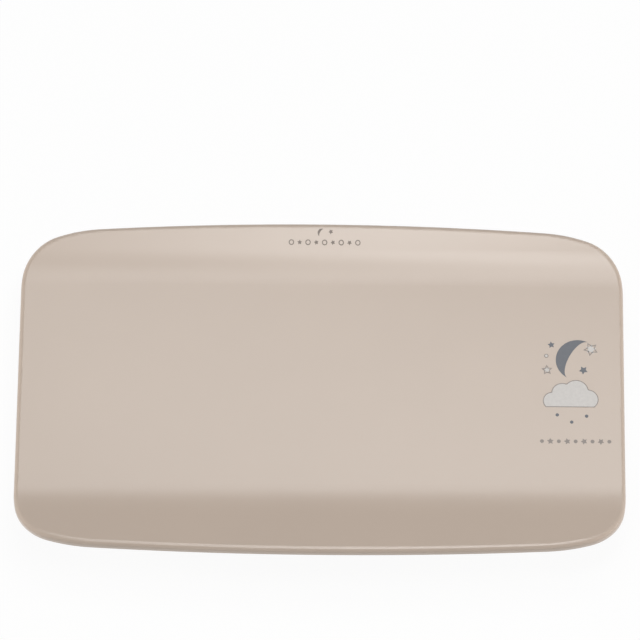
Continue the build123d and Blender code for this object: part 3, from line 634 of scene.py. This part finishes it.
def draw_cloud(bm, width):
    """A cloud: a circle's rim is pushed out to the edge of its puffs, and cut off level below them. A puff's
    middle and radius are shares of the width."""
    underside = -0.17
    crown = ((-0.31, -0.05, 0.17), (-0.14, 0.1, 0.19), (0.1, 0.13, 0.22), (0.3, -0.02, 0.19))
    floor = ((-0.16, -0.06, 0.14), (0.0, -0.06, 0.14), (0.15, -0.06, 0.14))
    ring = bmesh.ops.create_circle(bm, cap_ends=True, radius=width, segments=144)["verts"]
    for vertex in ring:
        way = vertex.co.normalized()
        reach = 0.0
        for x, y, radius in crown + floor:
            middle = Vector((x, y, 0)) * width
            near = way.dot(middle)
            inside = near**2 - middle.length_squared + (radius * width) ** 2
            if inside > 0:
                reach = max(reach, near + math.sqrt(inside))
        vertex.co = way * reach
        vertex.co.y = max(vertex.co.y, underside * width)


def draw_bar(bm, length, width, turn=0.0):
    """A bar with pointed ends, as a display's segment has."""
    tip = width / math.sqrt(3)
    ring = bmesh.ops.create_circle(bm, cap_ends=True, radius=tip, segments=6)["verts"]
    reach = length / 2 - tip
    bmesh.ops.translate(bm, vec=(reach, 0, 0), verts=[vertex for vertex in ring if vertex.co.x > 0])
    bmesh.ops.translate(bm, vec=(-reach, 0, 0), verts=[vertex for vertex in ring if vertex.co.x < 0])
    bmesh.ops.rotate(bm, verts=ring, matrix=Matrix.Rotation(turn, 3, "Z"))


def draw_block(bm, width, height, corner):
    """A rectangle with rounded corners."""
    ring = bmesh.ops.create_grid(bm, x_segments=1, y_segments=1, size=0.5)["verts"]
    bmesh.ops.scale(bm, vec=(width, height, 1), verts=ring)
    if corner:
        bmesh.ops.bevel(bm, geom=ring, offset=corner, segments=6, profile=0.5, affect="VERTICES", material=-1)


def draw_arc(bm, radius, width, start, sweep):
    """Part of a ring, spun from one short line."""
    inner = bm.verts.new((radius - width / 2, 0, 0))
    outer = bm.verts.new((radius + width / 2, 0, 0))
    line = bm.edges.new((inner, outer))
    turn = Matrix.Rotation(math.radians(start), 3, "Z")
    bmesh.ops.rotate(bm, verts=[inner, outer], matrix=turn)
    bmesh.ops.spin(bm, geom=[line], cent=(0, 0, 0), axis=(0, 0, 1), angle=math.radians(sweep), steps=40)


def draw(bm, shape, place, turn=0.0, outline=0.0, keep="all"):
    """Runs a shape's drawing at a place. It keeps all of it, or only its outline or what lies inside that."""
    old_faces = set(bm.faces)
    old_verts = set(bm.verts)
    shape()
    faces = [face for face in bm.faces if face not in old_faces]
    if keep != "all":
        edge = bmesh.ops.inset_region(
            bm, faces=faces, thickness=outline, use_boundary=True, use_even_offset=True
        )["faces"]
        bmesh.ops.delete(bm, geom=edge if keep == "inside" else faces, context="FACES")
    verts = [vertex for vertex in bm.verts if vertex not in old_verts]
    bmesh.ops.rotate(bm, verts=verts, matrix=Matrix.Rotation(math.radians(turn), 3, "Z"))
    bmesh.ops.translate(bm, vec=(*place, 0), verts=verts)


def thicken(bm, thickness):
    """Makes the flat drawing a closed film of that thickness, standing on its own plane."""
    bmesh.ops.recalc_face_normals(bm, faces=bm.faces)
    lifted = bmesh.ops.extrude_face_region(bm, geom=list(bm.faces), use_keep_orig=True)["geom"]
    top = [item for item in lifted if isinstance(item, bmesh.types.BMVert)]
    bmesh.ops.translate(bm, vec=(0, 0, thickness), verts=top)
    bmesh.ops.recalc_face_normals(bm, faces=bm.faces)


def lay_on(bm, node, place, reach=60 * MM):
    """Moves a film from its drawing plane on to the surface of a CAD node that lies under it."""
    skin = BVHTree.FromObject(frame["nodes"][node], bpy.context.evaluated_depsgraph_get())
    outward = (place.to_3x3() @ Vector((0, 0, 1))).normalized()
    for vertex in bm.verts:
        height = vertex.co.z
        start = place @ Vector((vertex.co.x, vertex.co.y, 0)) + outward * reach
        hit = skin.ray_cast(start, -outward)[0]
        if hit is None:
            raise RuntimeError("A print on " + node + " reaches past its surface")
        vertex.co = hit + outward * height


def finished_piece(name, bm, material, body, smooth=False):
    """Turns a bmesh into a piece that rides on a body."""
    mesh = bpy.data.meshes.new(name)
    bm.to_mesh(mesh)
    bm.free()
    mesh.materials.append(material)
    if smooth:
        mesh.shade_smooth()
        mesh.set_sharp_from_angle(angle=math.radians(35))
    piece = bpy.data.objects.new(name, mesh)
    bpy.context.scene.collection.objects.link(piece)
    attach(piece, body)
    return piece


# ---- Operators: finishes of the CAD parts ----
class SCALE_OT_mouldings(bpy.types.Operator):
    """Give the tray, the base, the feet and the keys their satin moulded skins"""

    bl_idname = "baby_scale.mouldings"
    bl_label = "Mouldings"

    def execute(self, context):
        colours = context.scene.scale_colours
        beige = satin_abs("Lacquered satin ABS, warm beige", colours.tray, roughness=0.32, sheen=0.75)
        dress("tray_abs", beige)
        dress("base_abs", satin_abs("Satin moulded ABS, pale beige", colours.base, roughness=0.46))
        dress("foot_abs", satin_abs("Satin moulded ABS, foot grey", colours.foot, roughness=0.5))
        dress("button_abs", satin_abs("Satin moulded ABS, off-white", colours.key, roughness=0.35))
        dress("frame_abs", satin_abs("Satin moulded ABS, white", linear("#E6E6E1"), roughness=0.45))
        return {"FINISHED"}


class SCALE_OT_display(bpy.types.Operator):
    """Give the display's window, glass, light guide and connector their finishes"""

    bl_idname = "baby_scale.display"
    bl_label = "Display Stack"

    def execute(self, context):
        dress("lens_acrylic", polished_acrylic("Polished clear acrylic"))
        dress("lcd_glass", display_glass("Liquid-crystal glass with painted glow", context.scene.scale_colours.glass))
        dress("light_guide", frosted_guide("Frosted acrylic light guide"))
        dress("zebra_rubber", striped_silicone("Striped silicone connector"))
        return {"FINISHED"}


class SCALE_OT_electronics(bpy.types.Operator):
    """Give the board, its components, the plungers and the leads their finishes"""

    bl_idname = "baby_scale.electronics"
    bl_label = "Electronics"

    def execute(self, context):
        dress("board_laminate", solder_mask("Solder-masked glass laminate"))
        dress("component_epoxy", filled_moulding("Filled black epoxy", "#1F1F21", 0.55))
        dress("plunger_plastic", filled_moulding("Moulded black nylon", "#242425", 0.45))
        dress("lead_pvc", extruded_pvc("Extruded PVC, black", "#2E2E30"))
        dress("lead_red", extruded_pvc("Extruded PVC, red", "#A62B22"))
        return {"FINISHED"}


class SCALE_OT_metalwork(bpy.types.Operator):
    """Give the load cells, springs, contacts and screws their metal finishes"""

    bl_idname = "baby_scale.metalwork"
    bl_label = "Metalwork"

    def execute(self, context):
        dress("spring_steel", rolled_steel("Stamped spring steel", "#B4B5B4", roughness=0.34))
        dress("plated_steel", rolled_steel("Nickel-plated steel", "#CFCDC6", roughness=0.26))
        return {"FINISHED"}


class SCALE_OT_cells(bpy.types.Operator):
    """Give the four dry cells their lacquered jackets, banded at the end with the button"""

    bl_idname = "baby_scale.cells"
    bl_label = "Dry Cells"

    def execute(self, context):
        right = cell_jacket("Lacquered steel can, button right", 1)
        left = cell_jacket("Lacquered steel can, button left", -1)
        for node, index in cad_slots["battery_can"]:
            low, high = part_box(node.name)
            node.material_slots[index].material = right if low.x + high.x > 0 else left
        return {"FINISHED"}


# ---- Operators: new pieces ----
class SCALE_OT_foot_pads(bpy.types.Operator):
    """Turn the four rubber pads with their concentric grip grooves"""

    bl_idname = "baby_scale.foot_pads"
    bl_label = "Foot Pads"

    def execute(self, context):
        sizes = context.scene.scale_sizes
        rubber = moulded_rubber("Moulded grey rubber", context.scene.scale_colours.pad)
        dress("foot_rubber", rubber)
        groove, land, depth = 1.1 * MM, 2.2 * MM, 0.7 * MM
        plain_middle, edge = 3 * MM, 0.8 * MM
        for corner in corners:
            node = "foot_pad_" + corner
            low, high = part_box(node)
            bm = bmesh.new()
            profile = [(0, 0)]
            radius = plain_middle
            while radius + groove + land < sizes.pad_radius:
                for share, height in ((0, 0), (0.2, depth), (0.8, depth), (1, 0)):
                    profile.append((radius + groove * share, height))
                radius += groove + land
            for inwards, height in ((edge, 0), (edge * 0.3, edge * 0.3), (0, edge), (0, sizes.pad_height)):
                profile.append((sizes.pad_radius - inwards, height))
            profile.append((0, sizes.pad_height))
            points = [bm.verts.new((reach, 0, height)) for reach, height in profile]
            lines = [bm.edges.new(pair) for pair in zip(points, points[1:])]
            bmesh.ops.spin(
                bm, geom=lines, cent=(0, 0, 0), axis=(0, 0, 1), angle=math.tau, steps=72, use_merge=True
            )
            bmesh.ops.remove_doubles(bm, verts=bm.verts, dist=0.005 * MM)
            bmesh.ops.recalc_face_normals(bm, faces=bm.faces)
            bmesh.ops.translate(bm, vec=((low.x + high.x) / 2, (low.y + high.y) / 2, low.z), verts=bm.verts)
            pad = finished_piece("grooved_pad_" + corner, bm, rubber, "root", smooth=True)
            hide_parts(node)
        return {"FINISHED"}


class SCALE_OT_dish_motif(bpy.types.Operator):
    """Print the night-sky motif and the row of small shapes on the right of the dish"""

    bl_idname = "baby_scale.dish_motif"
    bl_label = "Dish Motif"

    def execute(self, context):
        sizes = context.scene.scale_sizes
        colours = context.scene.scale_colours
        place = Matrix.Translation((sizes.motif_x, sizes.motif_y, dish_level.z))
        passes = (
            ("motif_dark_print", "Pad-printed ink, slate", colours.dark_ink),
            ("motif_line_print", "Pad-printed ink, warm grey", colours.line_ink),
            ("motif_pale_print", "Pad-printed ink, light grey", colours.pale_ink),
        )
        for name, ink, colour in passes:
            bm = bmesh.new()
            star, line = sizes.star, sizes.outline
            if name == "motif_dark_print":
                draw(bm, lambda: draw_crescent(bm, sizes.moon), (0.007, 0.022), turn=-28)
                draw(bm, lambda: draw_star(bm, star * 0.62), (0.012, 0.012), turn=12)
                draw(bm, lambda: draw_star(bm, star * 0.5), (-0.017, 0.037), turn=-9)
                for x, y in ((-0.012, -0.0325), (0.001, -0.0395), (0.0145, -0.0335)):
                    draw(bm, lambda: draw_disc(bm, 3.2 * MM), (x, y))
            else:
                keep = "outline" if name == "motif_line_print" else "inside"
                draw(bm, lambda: draw_cloud(bm, sizes.cloud), (0, -0.016), outline=line, keep=keep)
                draw(bm, lambda: draw_star(bm, star, 0), (0.019, 0.033), turn=8, outline=line, keep=keep)
                small = star * 0.75
                draw(bm, lambda: draw_star(bm, small, 0), (-0.021, 0.012), turn=-14, outline=line, keep=keep)
                draw(bm, lambda: draw_disc(bm, 4 * MM), (-0.0215, 0.026), outline=line, keep=keep)
            if name == "motif_line_print":
                row_start, row_y = -26, -0.0585
                for step in range(9):
                    spot = ((row_start + ROW_PITCH * step) * MM, row_y)
                    if step % 2:
                        draw(bm, lambda: draw_star(bm, 6.5 * MM), spot, turn=(step - 4) * 5)
                    else:
                        draw(bm, lambda: draw_disc(bm, 3.6 * MM), spot)
            thicken(bm, sizes.film)
            lay_on(bm, "tray", place)
            finished_piece(name, bm, printed_ink(ink, colour), "root")
        return {"FINISHED"}


class SCALE_OT_ramp_motif(bpy.types.Operator):
    """Print the small moon, star and row of rings in the middle of the rear ramp"""

    bl_idname = "baby_scale.ramp_motif"
    bl_label = "Ramp Motif"

    def execute(self, context):
        sizes = context.scene.scale_sizes
        star, ring, line = 4.6 * MM, 5 * MM, 0.9 * MM
        bm = bmesh.new()
        draw(bm, lambda: draw_crescent(bm, 7.4 * MM), (-0.0028, 0.0084), turn=-30)
        draw(bm, lambda: draw_star(bm, star), (0.0056, 0.0094), turn=10)
        for step in range(-4, 5):
            spot = (step * ROW_PITCH * MM, 0)
            if step % 2:
                draw(bm, lambda: draw_star(bm, star), spot, turn=step * 6)
            else:
                draw(bm, lambda: draw_disc(bm, ring), spot, outline=line, keep="outline")
        thicken(bm, sizes.film)
        lay_on(bm, "tray", Matrix.Translation(ramp_print_middle))
        ink = printed_ink("Pad-printed ink, taupe", linear("#7D736B"))
        finished_piece("ramp_print", bm, ink, "root")
        return {"FINISHED"}


class SCALE_OT_figures(bpy.types.Operator):
    """Set the display's figures, unit and resting segments in front of its glass"""

    bl_idname = "baby_scale.figures"
    bl_label = "Display Figures"

    def execute(self, context):
        colours = context.scene.scale_colours
        tall = context.scene.scale_sizes.figure
        wide, thick = tall * 0.52, tall * 0.115
        low = -tall / 2
        figure_places = (-20 * MM, -10 * MM, -2 * MM, 6 * MM)
        point_x, unit_x = -15 * MM, 15 * MM
        bars = {
            "top": (0, tall / 2, 0),
            "middle": (0, 0, 0),
            "bottom": (0, -tall / 2, 0),
            "upper left": (-wide / 2, tall / 4, 90),
            "upper right": (wide / 2, tall / 4, 90),
            "lower left": (-wide / 2, -tall / 4, 90),
            "lower right": (wide / 2, -tall / 4, 90),
        }
        lit, resting = bmesh.new(), bmesh.new()
        for x in figure_places:
            for name, (across, up, turn) in bars.items():
                bm = resting if name == "middle" else lit
                length = (wide if turn == 0 else tall / 2) * 0.93
                draw(bm, lambda: draw_bar(bm, length, thick), (x + across, up), turn=turn)
        draw(lit, lambda: draw_disc(lit, thick * 1.2, 20), (point_x, low))
        text = bpy.data.curves.new("unit_text", "FONT")
        text.body = "kg"
        text.size = tall * 0.72
        letters = bpy.data.objects.new("unit_text", text)
        mesh = bpy.data.meshes.new_from_object(letters)
        old_verts = set(lit.verts)
        lit.from_mesh(mesh)
        letter_verts = [vertex for vertex in lit.verts if vertex not in old_verts]
        bmesh.ops.translate(lit, vec=(unit_x, low, 0), verts=letter_verts)
        bpy.data.objects.remove(letters)
        bpy.data.curves.remove(text)
        bpy.data.meshes.remove(mesh)
        dark = printed_ink("Lit liquid-crystal segments", colours.segment, roughness=0.3)
        faint = printed_ink("Resting liquid-crystal segments", shade(colours.glass, 0.86), roughness=0.3)
        for name, bm, ink in (("lit_segments", lit, dark), ("resting_segments", resting, faint)):
            thicken(bm, SEGMENT_FILM)
            lay_on(bm, "lcd_glass", panel_place("lcd_glass"), reach=PANEL_REACH)
            finished_piece(name, bm, ink, "root")
        return {"FINISHED"}


class SCALE_OT_lens_border(bpy.types.Operator):
    """Print the dark border on the back of the display's window"""

    bl_idname = "baby_scale.lens_border"
    bl_label = "Window Border"

    def execute(self, context):
        lens_thickness, gap_behind = 1.2 * MM, 0.06 * MM
        depth = lens_thickness - gap_behind
        width, height, corner = 69.6 * MM, 17.6 * MM, 2.3 * MM
        border, clear_width = 1.6 * MM, 62 * MM
        bm = bmesh.new()
        draw_block(bm, width, height, corner)
        window = list(bm.faces)
        bmesh.ops.inset_region(bm, faces=window, thickness=border, use_boundary=True, use_even_offset=True)
        # The border is wider at the two ends than along the top and the bottom
        narrowing = clear_width / (width - 2 * border)
        bmesh.ops.scale(bm, vec=(narrowing, 1, 1), verts=[vertex for face in window for vertex in face.verts])
        bmesh.ops.delete(bm, geom=window, context="FACES")
        thicken(bm, BORDER_FILM)
        bmesh.ops.transform(bm, matrix=panel_place("display_lens", proud=-depth), verts=bm.verts)
        ink = printed_ink("Screen-printed ink, charcoal", linear("#2A2B2D"), roughness=0.4)
        finished_piece("lens_border_print", bm, ink, "root")
        return {"FINISHED"}


class SCALE_OT_key_symbols(bpy.types.Operator):
    """Print the power, hold and unit symbols on the three keys"""

    bl_idname = "baby_scale.key_symbols"
    bl_label = "Key Symbols"

    def execute(self, context):
        sizes = context.scene.scale_sizes
        # Every length is a share of the symbol's height
        size = sizes.symbol
        line = size * 0.14
        ink = printed_ink("Pad-printed ink, dark slate", linear("#55585E"))
        for key in keys:
            bm = bmesh.new()
            if key == "power":
                draw(bm, lambda: draw_arc(bm, size * 0.4, line, 122, 296), (0, -size * 0.04))
                draw(bm, lambda: draw_block(bm, line, size * 0.46, line * 0.3), (0, size * 0.26))
            elif key == "hold":
                draw(bm, lambda: draw_block(bm, size * 0.72, size * 0.52, size * 0.08), (0, -size * 0.22))
                draw(bm, lambda: draw_arc(bm, size * 0.21, line, 0, 180), (0, size * 0.2))
                for side in (-1, 1):
                    draw(bm, lambda: draw_block(bm, line, size * 0.16, 0), (side * size * 0.21, size * 0.12))
            else:
                for side in (-1, 1):
                    spot = (0, side * size * 0.26)
                    draw(bm, lambda: draw_disc(bm, size * 0.5, 3), spot, turn=90 - 90 * side)
            thicken(bm, sizes.film)
            lay_on(bm, key + "_button", panel_place(key + "_button"), reach=PANEL_REACH)
            finished_piece(key + "_symbol", bm, ink, key + "_key")
        return {"FINISHED"}


class SCALE_OT_door_marks(bpy.types.Operator):
    """Raise the arrow and the grip bars on the battery door"""

    bl_idname = "baby_scale.door_marks"
    bl_label = "Door Marks"

    def execute(self, context):
        plastic = satin_abs("Satin moulded ABS, door marks", context.scene.scale_colours.base, roughness=0.46)
        arrow, arrow_y, bar_width, bar_corner = 9 * MM, -0.0185, 1 * MM, 0.45 * MM
        longest_bar, shorter_by, first_bar, bar_pitch = 22, 3, -11.5, 2.4
        bm = bmesh.new()
        draw(bm, lambda: draw_disc(bm, arrow, 3), (0, arrow_y))
        for step in range(4):
            length = (longest_bar - shorter_by * step) * MM
            spot = (0, (first_bar + bar_pitch * step) * MM)
            draw(bm, lambda: draw_block(bm, length, bar_width, bar_corner), spot)
        thicken(bm, MARK_HEIGHT)
        lay_on(bm, "battery_door", face_down)
        finished_piece("door_marks", bm, plastic, "door")
        return {"FINISHED"}


class SCALE_OT_blank_plate(bpy.types.Operator):
    """Stick the bare foil plate into its recess under the base"""

    bl_idname = "baby_scale.blank_plate"
    bl_label = "Blank Plate"

    def execute(self, context):
        foil = rolled_steel("Brushed aluminium foil", "#C9C9C6", line=0.6 * MM, roughness=0.4)
        width, height, corner = 62 * MM, 38 * MM, 2 * MM
        bm = bmesh.new()
        draw_block(bm, width, height, corner)
        thicken(bm, FOIL_THICKNESS)
        lay_on(bm, "base_lower_shell", Matrix.Translation(plate_middle) @ face_down)
        finished_piece("blank_plate", bm, foil, "root")
        return {"FINISHED"}


# ---- Operator: stage ----
def aim(thing, place, target):
    """Puts a camera or a lamp at a place and turns it to look at a target."""
    thing.location = place
    thing.rotation_euler = (Vector(target) - Vector(place)).to_track_quat("-Z", "Y").to_euler()


def add_lamp(name, power, size, lean, swing=90, across=0.0, mirrored=True):
    """A rectangular studio lamp that lights but isn't seen. It leans from straight overhead by an angle,
    towards the rear at a swing of 90 degrees and towards the right at 0. A lamp that isn't mirrored doesn't
    show in glossy surfaces."""
    data = bpy.data.lights.new(name, "AREA")
    data.shape = "RECTANGLE"
    data.size, data.size_y = size
    data.energy = power
    lamp = bpy.data.objects.new(name, data)
    bpy.context.scene.collection.objects.link(lamp)
    lean, swing = math.radians(lean), math.radians(swing)
    way = Vector((math.sin(lean) * math.cos(swing), math.sin(lean) * math.sin(swing), math.cos(lean)))
    aim(lamp, dish_level + way * LAMP_REACH + panel_right * across, dish_level)
    lamp.visible_camera = False
    lamp.visible_glossy = mirrored


def shown_share(tree):
    """1 where the stage is seen, mirrored or seen through something clear, and 0 where it only lights."""
    rays = add_node(tree, "LightPath")
    shown = rays.outputs["Is Camera Ray"]
    for kind in ("Is Glossy Ray", "Is Transmission Ray"):
        shown = add_node(tree, "Math", {0: shown, 1: rays.outputs[kind]}, operation="MAXIMUM").outputs[0]
    return shown


class SCALE_OT_stage(bpy.types.Operator):
    """Set the pale floor, the room's light, the lamps and the camera"""

    bl_idname = "baby_scale.stage"
    bl_label = "Stage"

    def execute(self, context):
        settings = context.scene.scale_stage
        scene = context.scene
        scene.view_settings.view_transform = "Standard"

        floor_material, tree, place = new_material("White paper sweep")
        # Beyond the object's shadow the sweep is plain white, so no lamp draws an edge on it
        reach = add_node(tree, "VectorMath", {0: place}, operation="LENGTH").outputs["Value"]
        glow = add_node(
            tree,
            "MapRange",
            {"Value": reach, "From Min": 0.7, "From Max": 1.3, "To Min": 0.94, "To Max": 1.0},
        ).outputs["Result"]
        share = add_node(tree, "Math", {0: shown_share(tree), 1: glow}, operation="MULTIPLY")
        fibre = add_node(tree, "TexNoise", {"Vector": place, "Scale": 1 / (2 * MM), "Detail": 3})
        paper = add_node(
            tree,
            "Mix",
            {"Factor": fibre.outputs["Fac"], 6: linear("#F6F6F5"), 7: linear("#FDFDFC")},
            data_type="RGBA",
        )
        matt = add_node(tree, "BsdfDiffuse", {"Color": paper.outputs[2]})
        white = add_node(tree, "Emission", {"Color": (1, 1, 1, 1), "Strength": 1.0})
        mixed = add_node(
            tree, "MixShader", {0: share.outputs[0], 1: matt.outputs["BSDF"], 2: white.outputs["Emission"]}
        )
        side = add_node(tree, "NewGeometry")
        clear = add_node(tree, "BsdfTransparent")
        one_sided = add_node(
            tree,
            "MixShader",
            {0: side.outputs["Backfacing"], 1: mixed.outputs["Shader"], 2: clear.outputs["BSDF"]},
        )
        add_node(tree, "OutputMaterial", {"Surface": one_sided.outputs["Shader"]})
        bm = bmesh.new()
        bmesh.ops.create_grid(bm, x_segments=1, y_segments=1, size=FLOOR_HALF)
        mesh = bpy.data.meshes.new("floor")
        bm.to_mesh(mesh)
        bm.free()
        mesh.materials.append(floor_material)
        floor = bpy.data.objects.new("floor", mesh)
        scene.collection.objects.link(floor)

        world = bpy.data.worlds.new("Pale studio")
        scene.world = world
        world.use_nodes = True
        tree = world.node_tree
        tree.nodes.clear()
        strength = add_node(
            tree,
            "MapRange",
            {"Value": shown_share(tree), "To Min": settings.room, "To Max": 1.0},
        )
        sky = add_node(tree, "Background", {"Color": (1, 1, 1, 1), "Strength": strength.outputs["Result"]})
        add_node(tree, "OutputWorld", {"Surface": sky.outputs["Background"]})

        add_lamp("Overhead softbox", settings.overhead, (1.6, 0.8), 0)
        add_lamp("Front panel", settings.front_panel, (0.88, 0.35), -5, across=0.12)
        add_lamp("Rear panel", settings.rear_panel, (1.5, 0.5), 21, across=0.12)
        cards = (
            ("Left card", settings.side_card, 0.8, 180),
            ("Right card", settings.side_card, 0.8, 0),
            ("Front card", settings.front_card, 1.2, -90),
            ("Rear card", settings.rear_card, 1.2, 90),
        )
        for name, power, width, swing in cards:
            add_lamp(name, power, (width, 0.4), 80, swing=swing, mirrored=False)

        camera = bpy.data.objects.new("Camera", bpy.data.cameras.new("Camera"))
        scene.collection.objects.link(camera)
        camera.data.sensor_width = 36
        camera.data.lens = settings.lens
        camera.data.clip_end = 100
        turn, rise = settings.azimuth, settings.elevation
        away = Vector((math.sin(turn) * math.cos(rise), -math.cos(turn) * math.cos(rise), math.sin(rise)))
        right = Vector((math.cos(turn), math.sin(turn), 0))
        up = away.cross(right)
        target = dish_level + up * settings.aim_rise + right * settings.aim_side
        aim(camera, dish_level + away * settings.distance, target)
        scene.camera = camera
        return {"FINISHED"}


class SCALE_PT_sidebar(bpy.types.Panel):
    """Lists the scale's sizes, colours and building steps"""

    bl_label = "Baby Scale"
    bl_space_type = "VIEW_3D"
    bl_region_type = "UI"
    bl_category = "Baby Scale"

    def draw(self, context):
        for group in ("scale_colours", "scale_sizes", "scale_stage"):
            box = self.layout.box()
            settings = getattr(context.scene, group)
            for name in settings.bl_rna.properties.keys():
                if name not in ("rna_type", "name"):
                    box.prop(settings, name)
        for step in STEPS:
            self.layout.operator(step.bl_idname)


STEPS = (
    SCALE_OT_mouldings,
    SCALE_OT_display,
    SCALE_OT_electronics,
    SCALE_OT_metalwork,
    SCALE_OT_cells,
    SCALE_OT_foot_pads,
    SCALE_OT_dish_motif,
    SCALE_OT_ramp_motif,
    SCALE_OT_figures,
    SCALE_OT_lens_border,
    SCALE_OT_key_symbols,
    SCALE_OT_door_marks,
    SCALE_OT_blank_plate,
    SCALE_OT_stage,
)
CLASSES = (ScaleColours, ScaleSizes, StageSettings, SCALE_PT_sidebar, *STEPS)


def register():
    for item in CLASSES:
        bpy.utils.register_class(item)
    bpy.types.Scene.scale_colours = bpy.props.PointerProperty(type=ScaleColours)
    bpy.types.Scene.scale_sizes = bpy.props.PointerProperty(type=ScaleSizes)
    bpy.types.Scene.scale_stage = bpy.props.PointerProperty(type=StageSettings)


def unregister():
    del bpy.types.Scene.scale_stage
    del bpy.types.Scene.scale_sizes
    del bpy.types.Scene.scale_colours
    for item in reversed(CLASSES):
        bpy.utils.unregister_class(item)


def main():
    """Builds everything in order."""
    register()
    bpy.ops.baby_scale.stage()
    bpy.ops.baby_scale.mouldings()
    bpy.ops.baby_scale.display()
    bpy.ops.baby_scale.electronics()
    bpy.ops.baby_scale.metalwork()
    bpy.ops.baby_scale.cells()
    bpy.ops.baby_scale.foot_pads()
    bpy.ops.baby_scale.dish_motif()
    bpy.ops.baby_scale.ramp_motif()
    bpy.ops.baby_scale.figures()
    bpy.ops.baby_scale.lens_border()
    bpy.ops.baby_scale.key_symbols()
    bpy.ops.baby_scale.door_marks()
    bpy.ops.baby_scale.blank_plate()


if __name__ == "__main__":
    main()
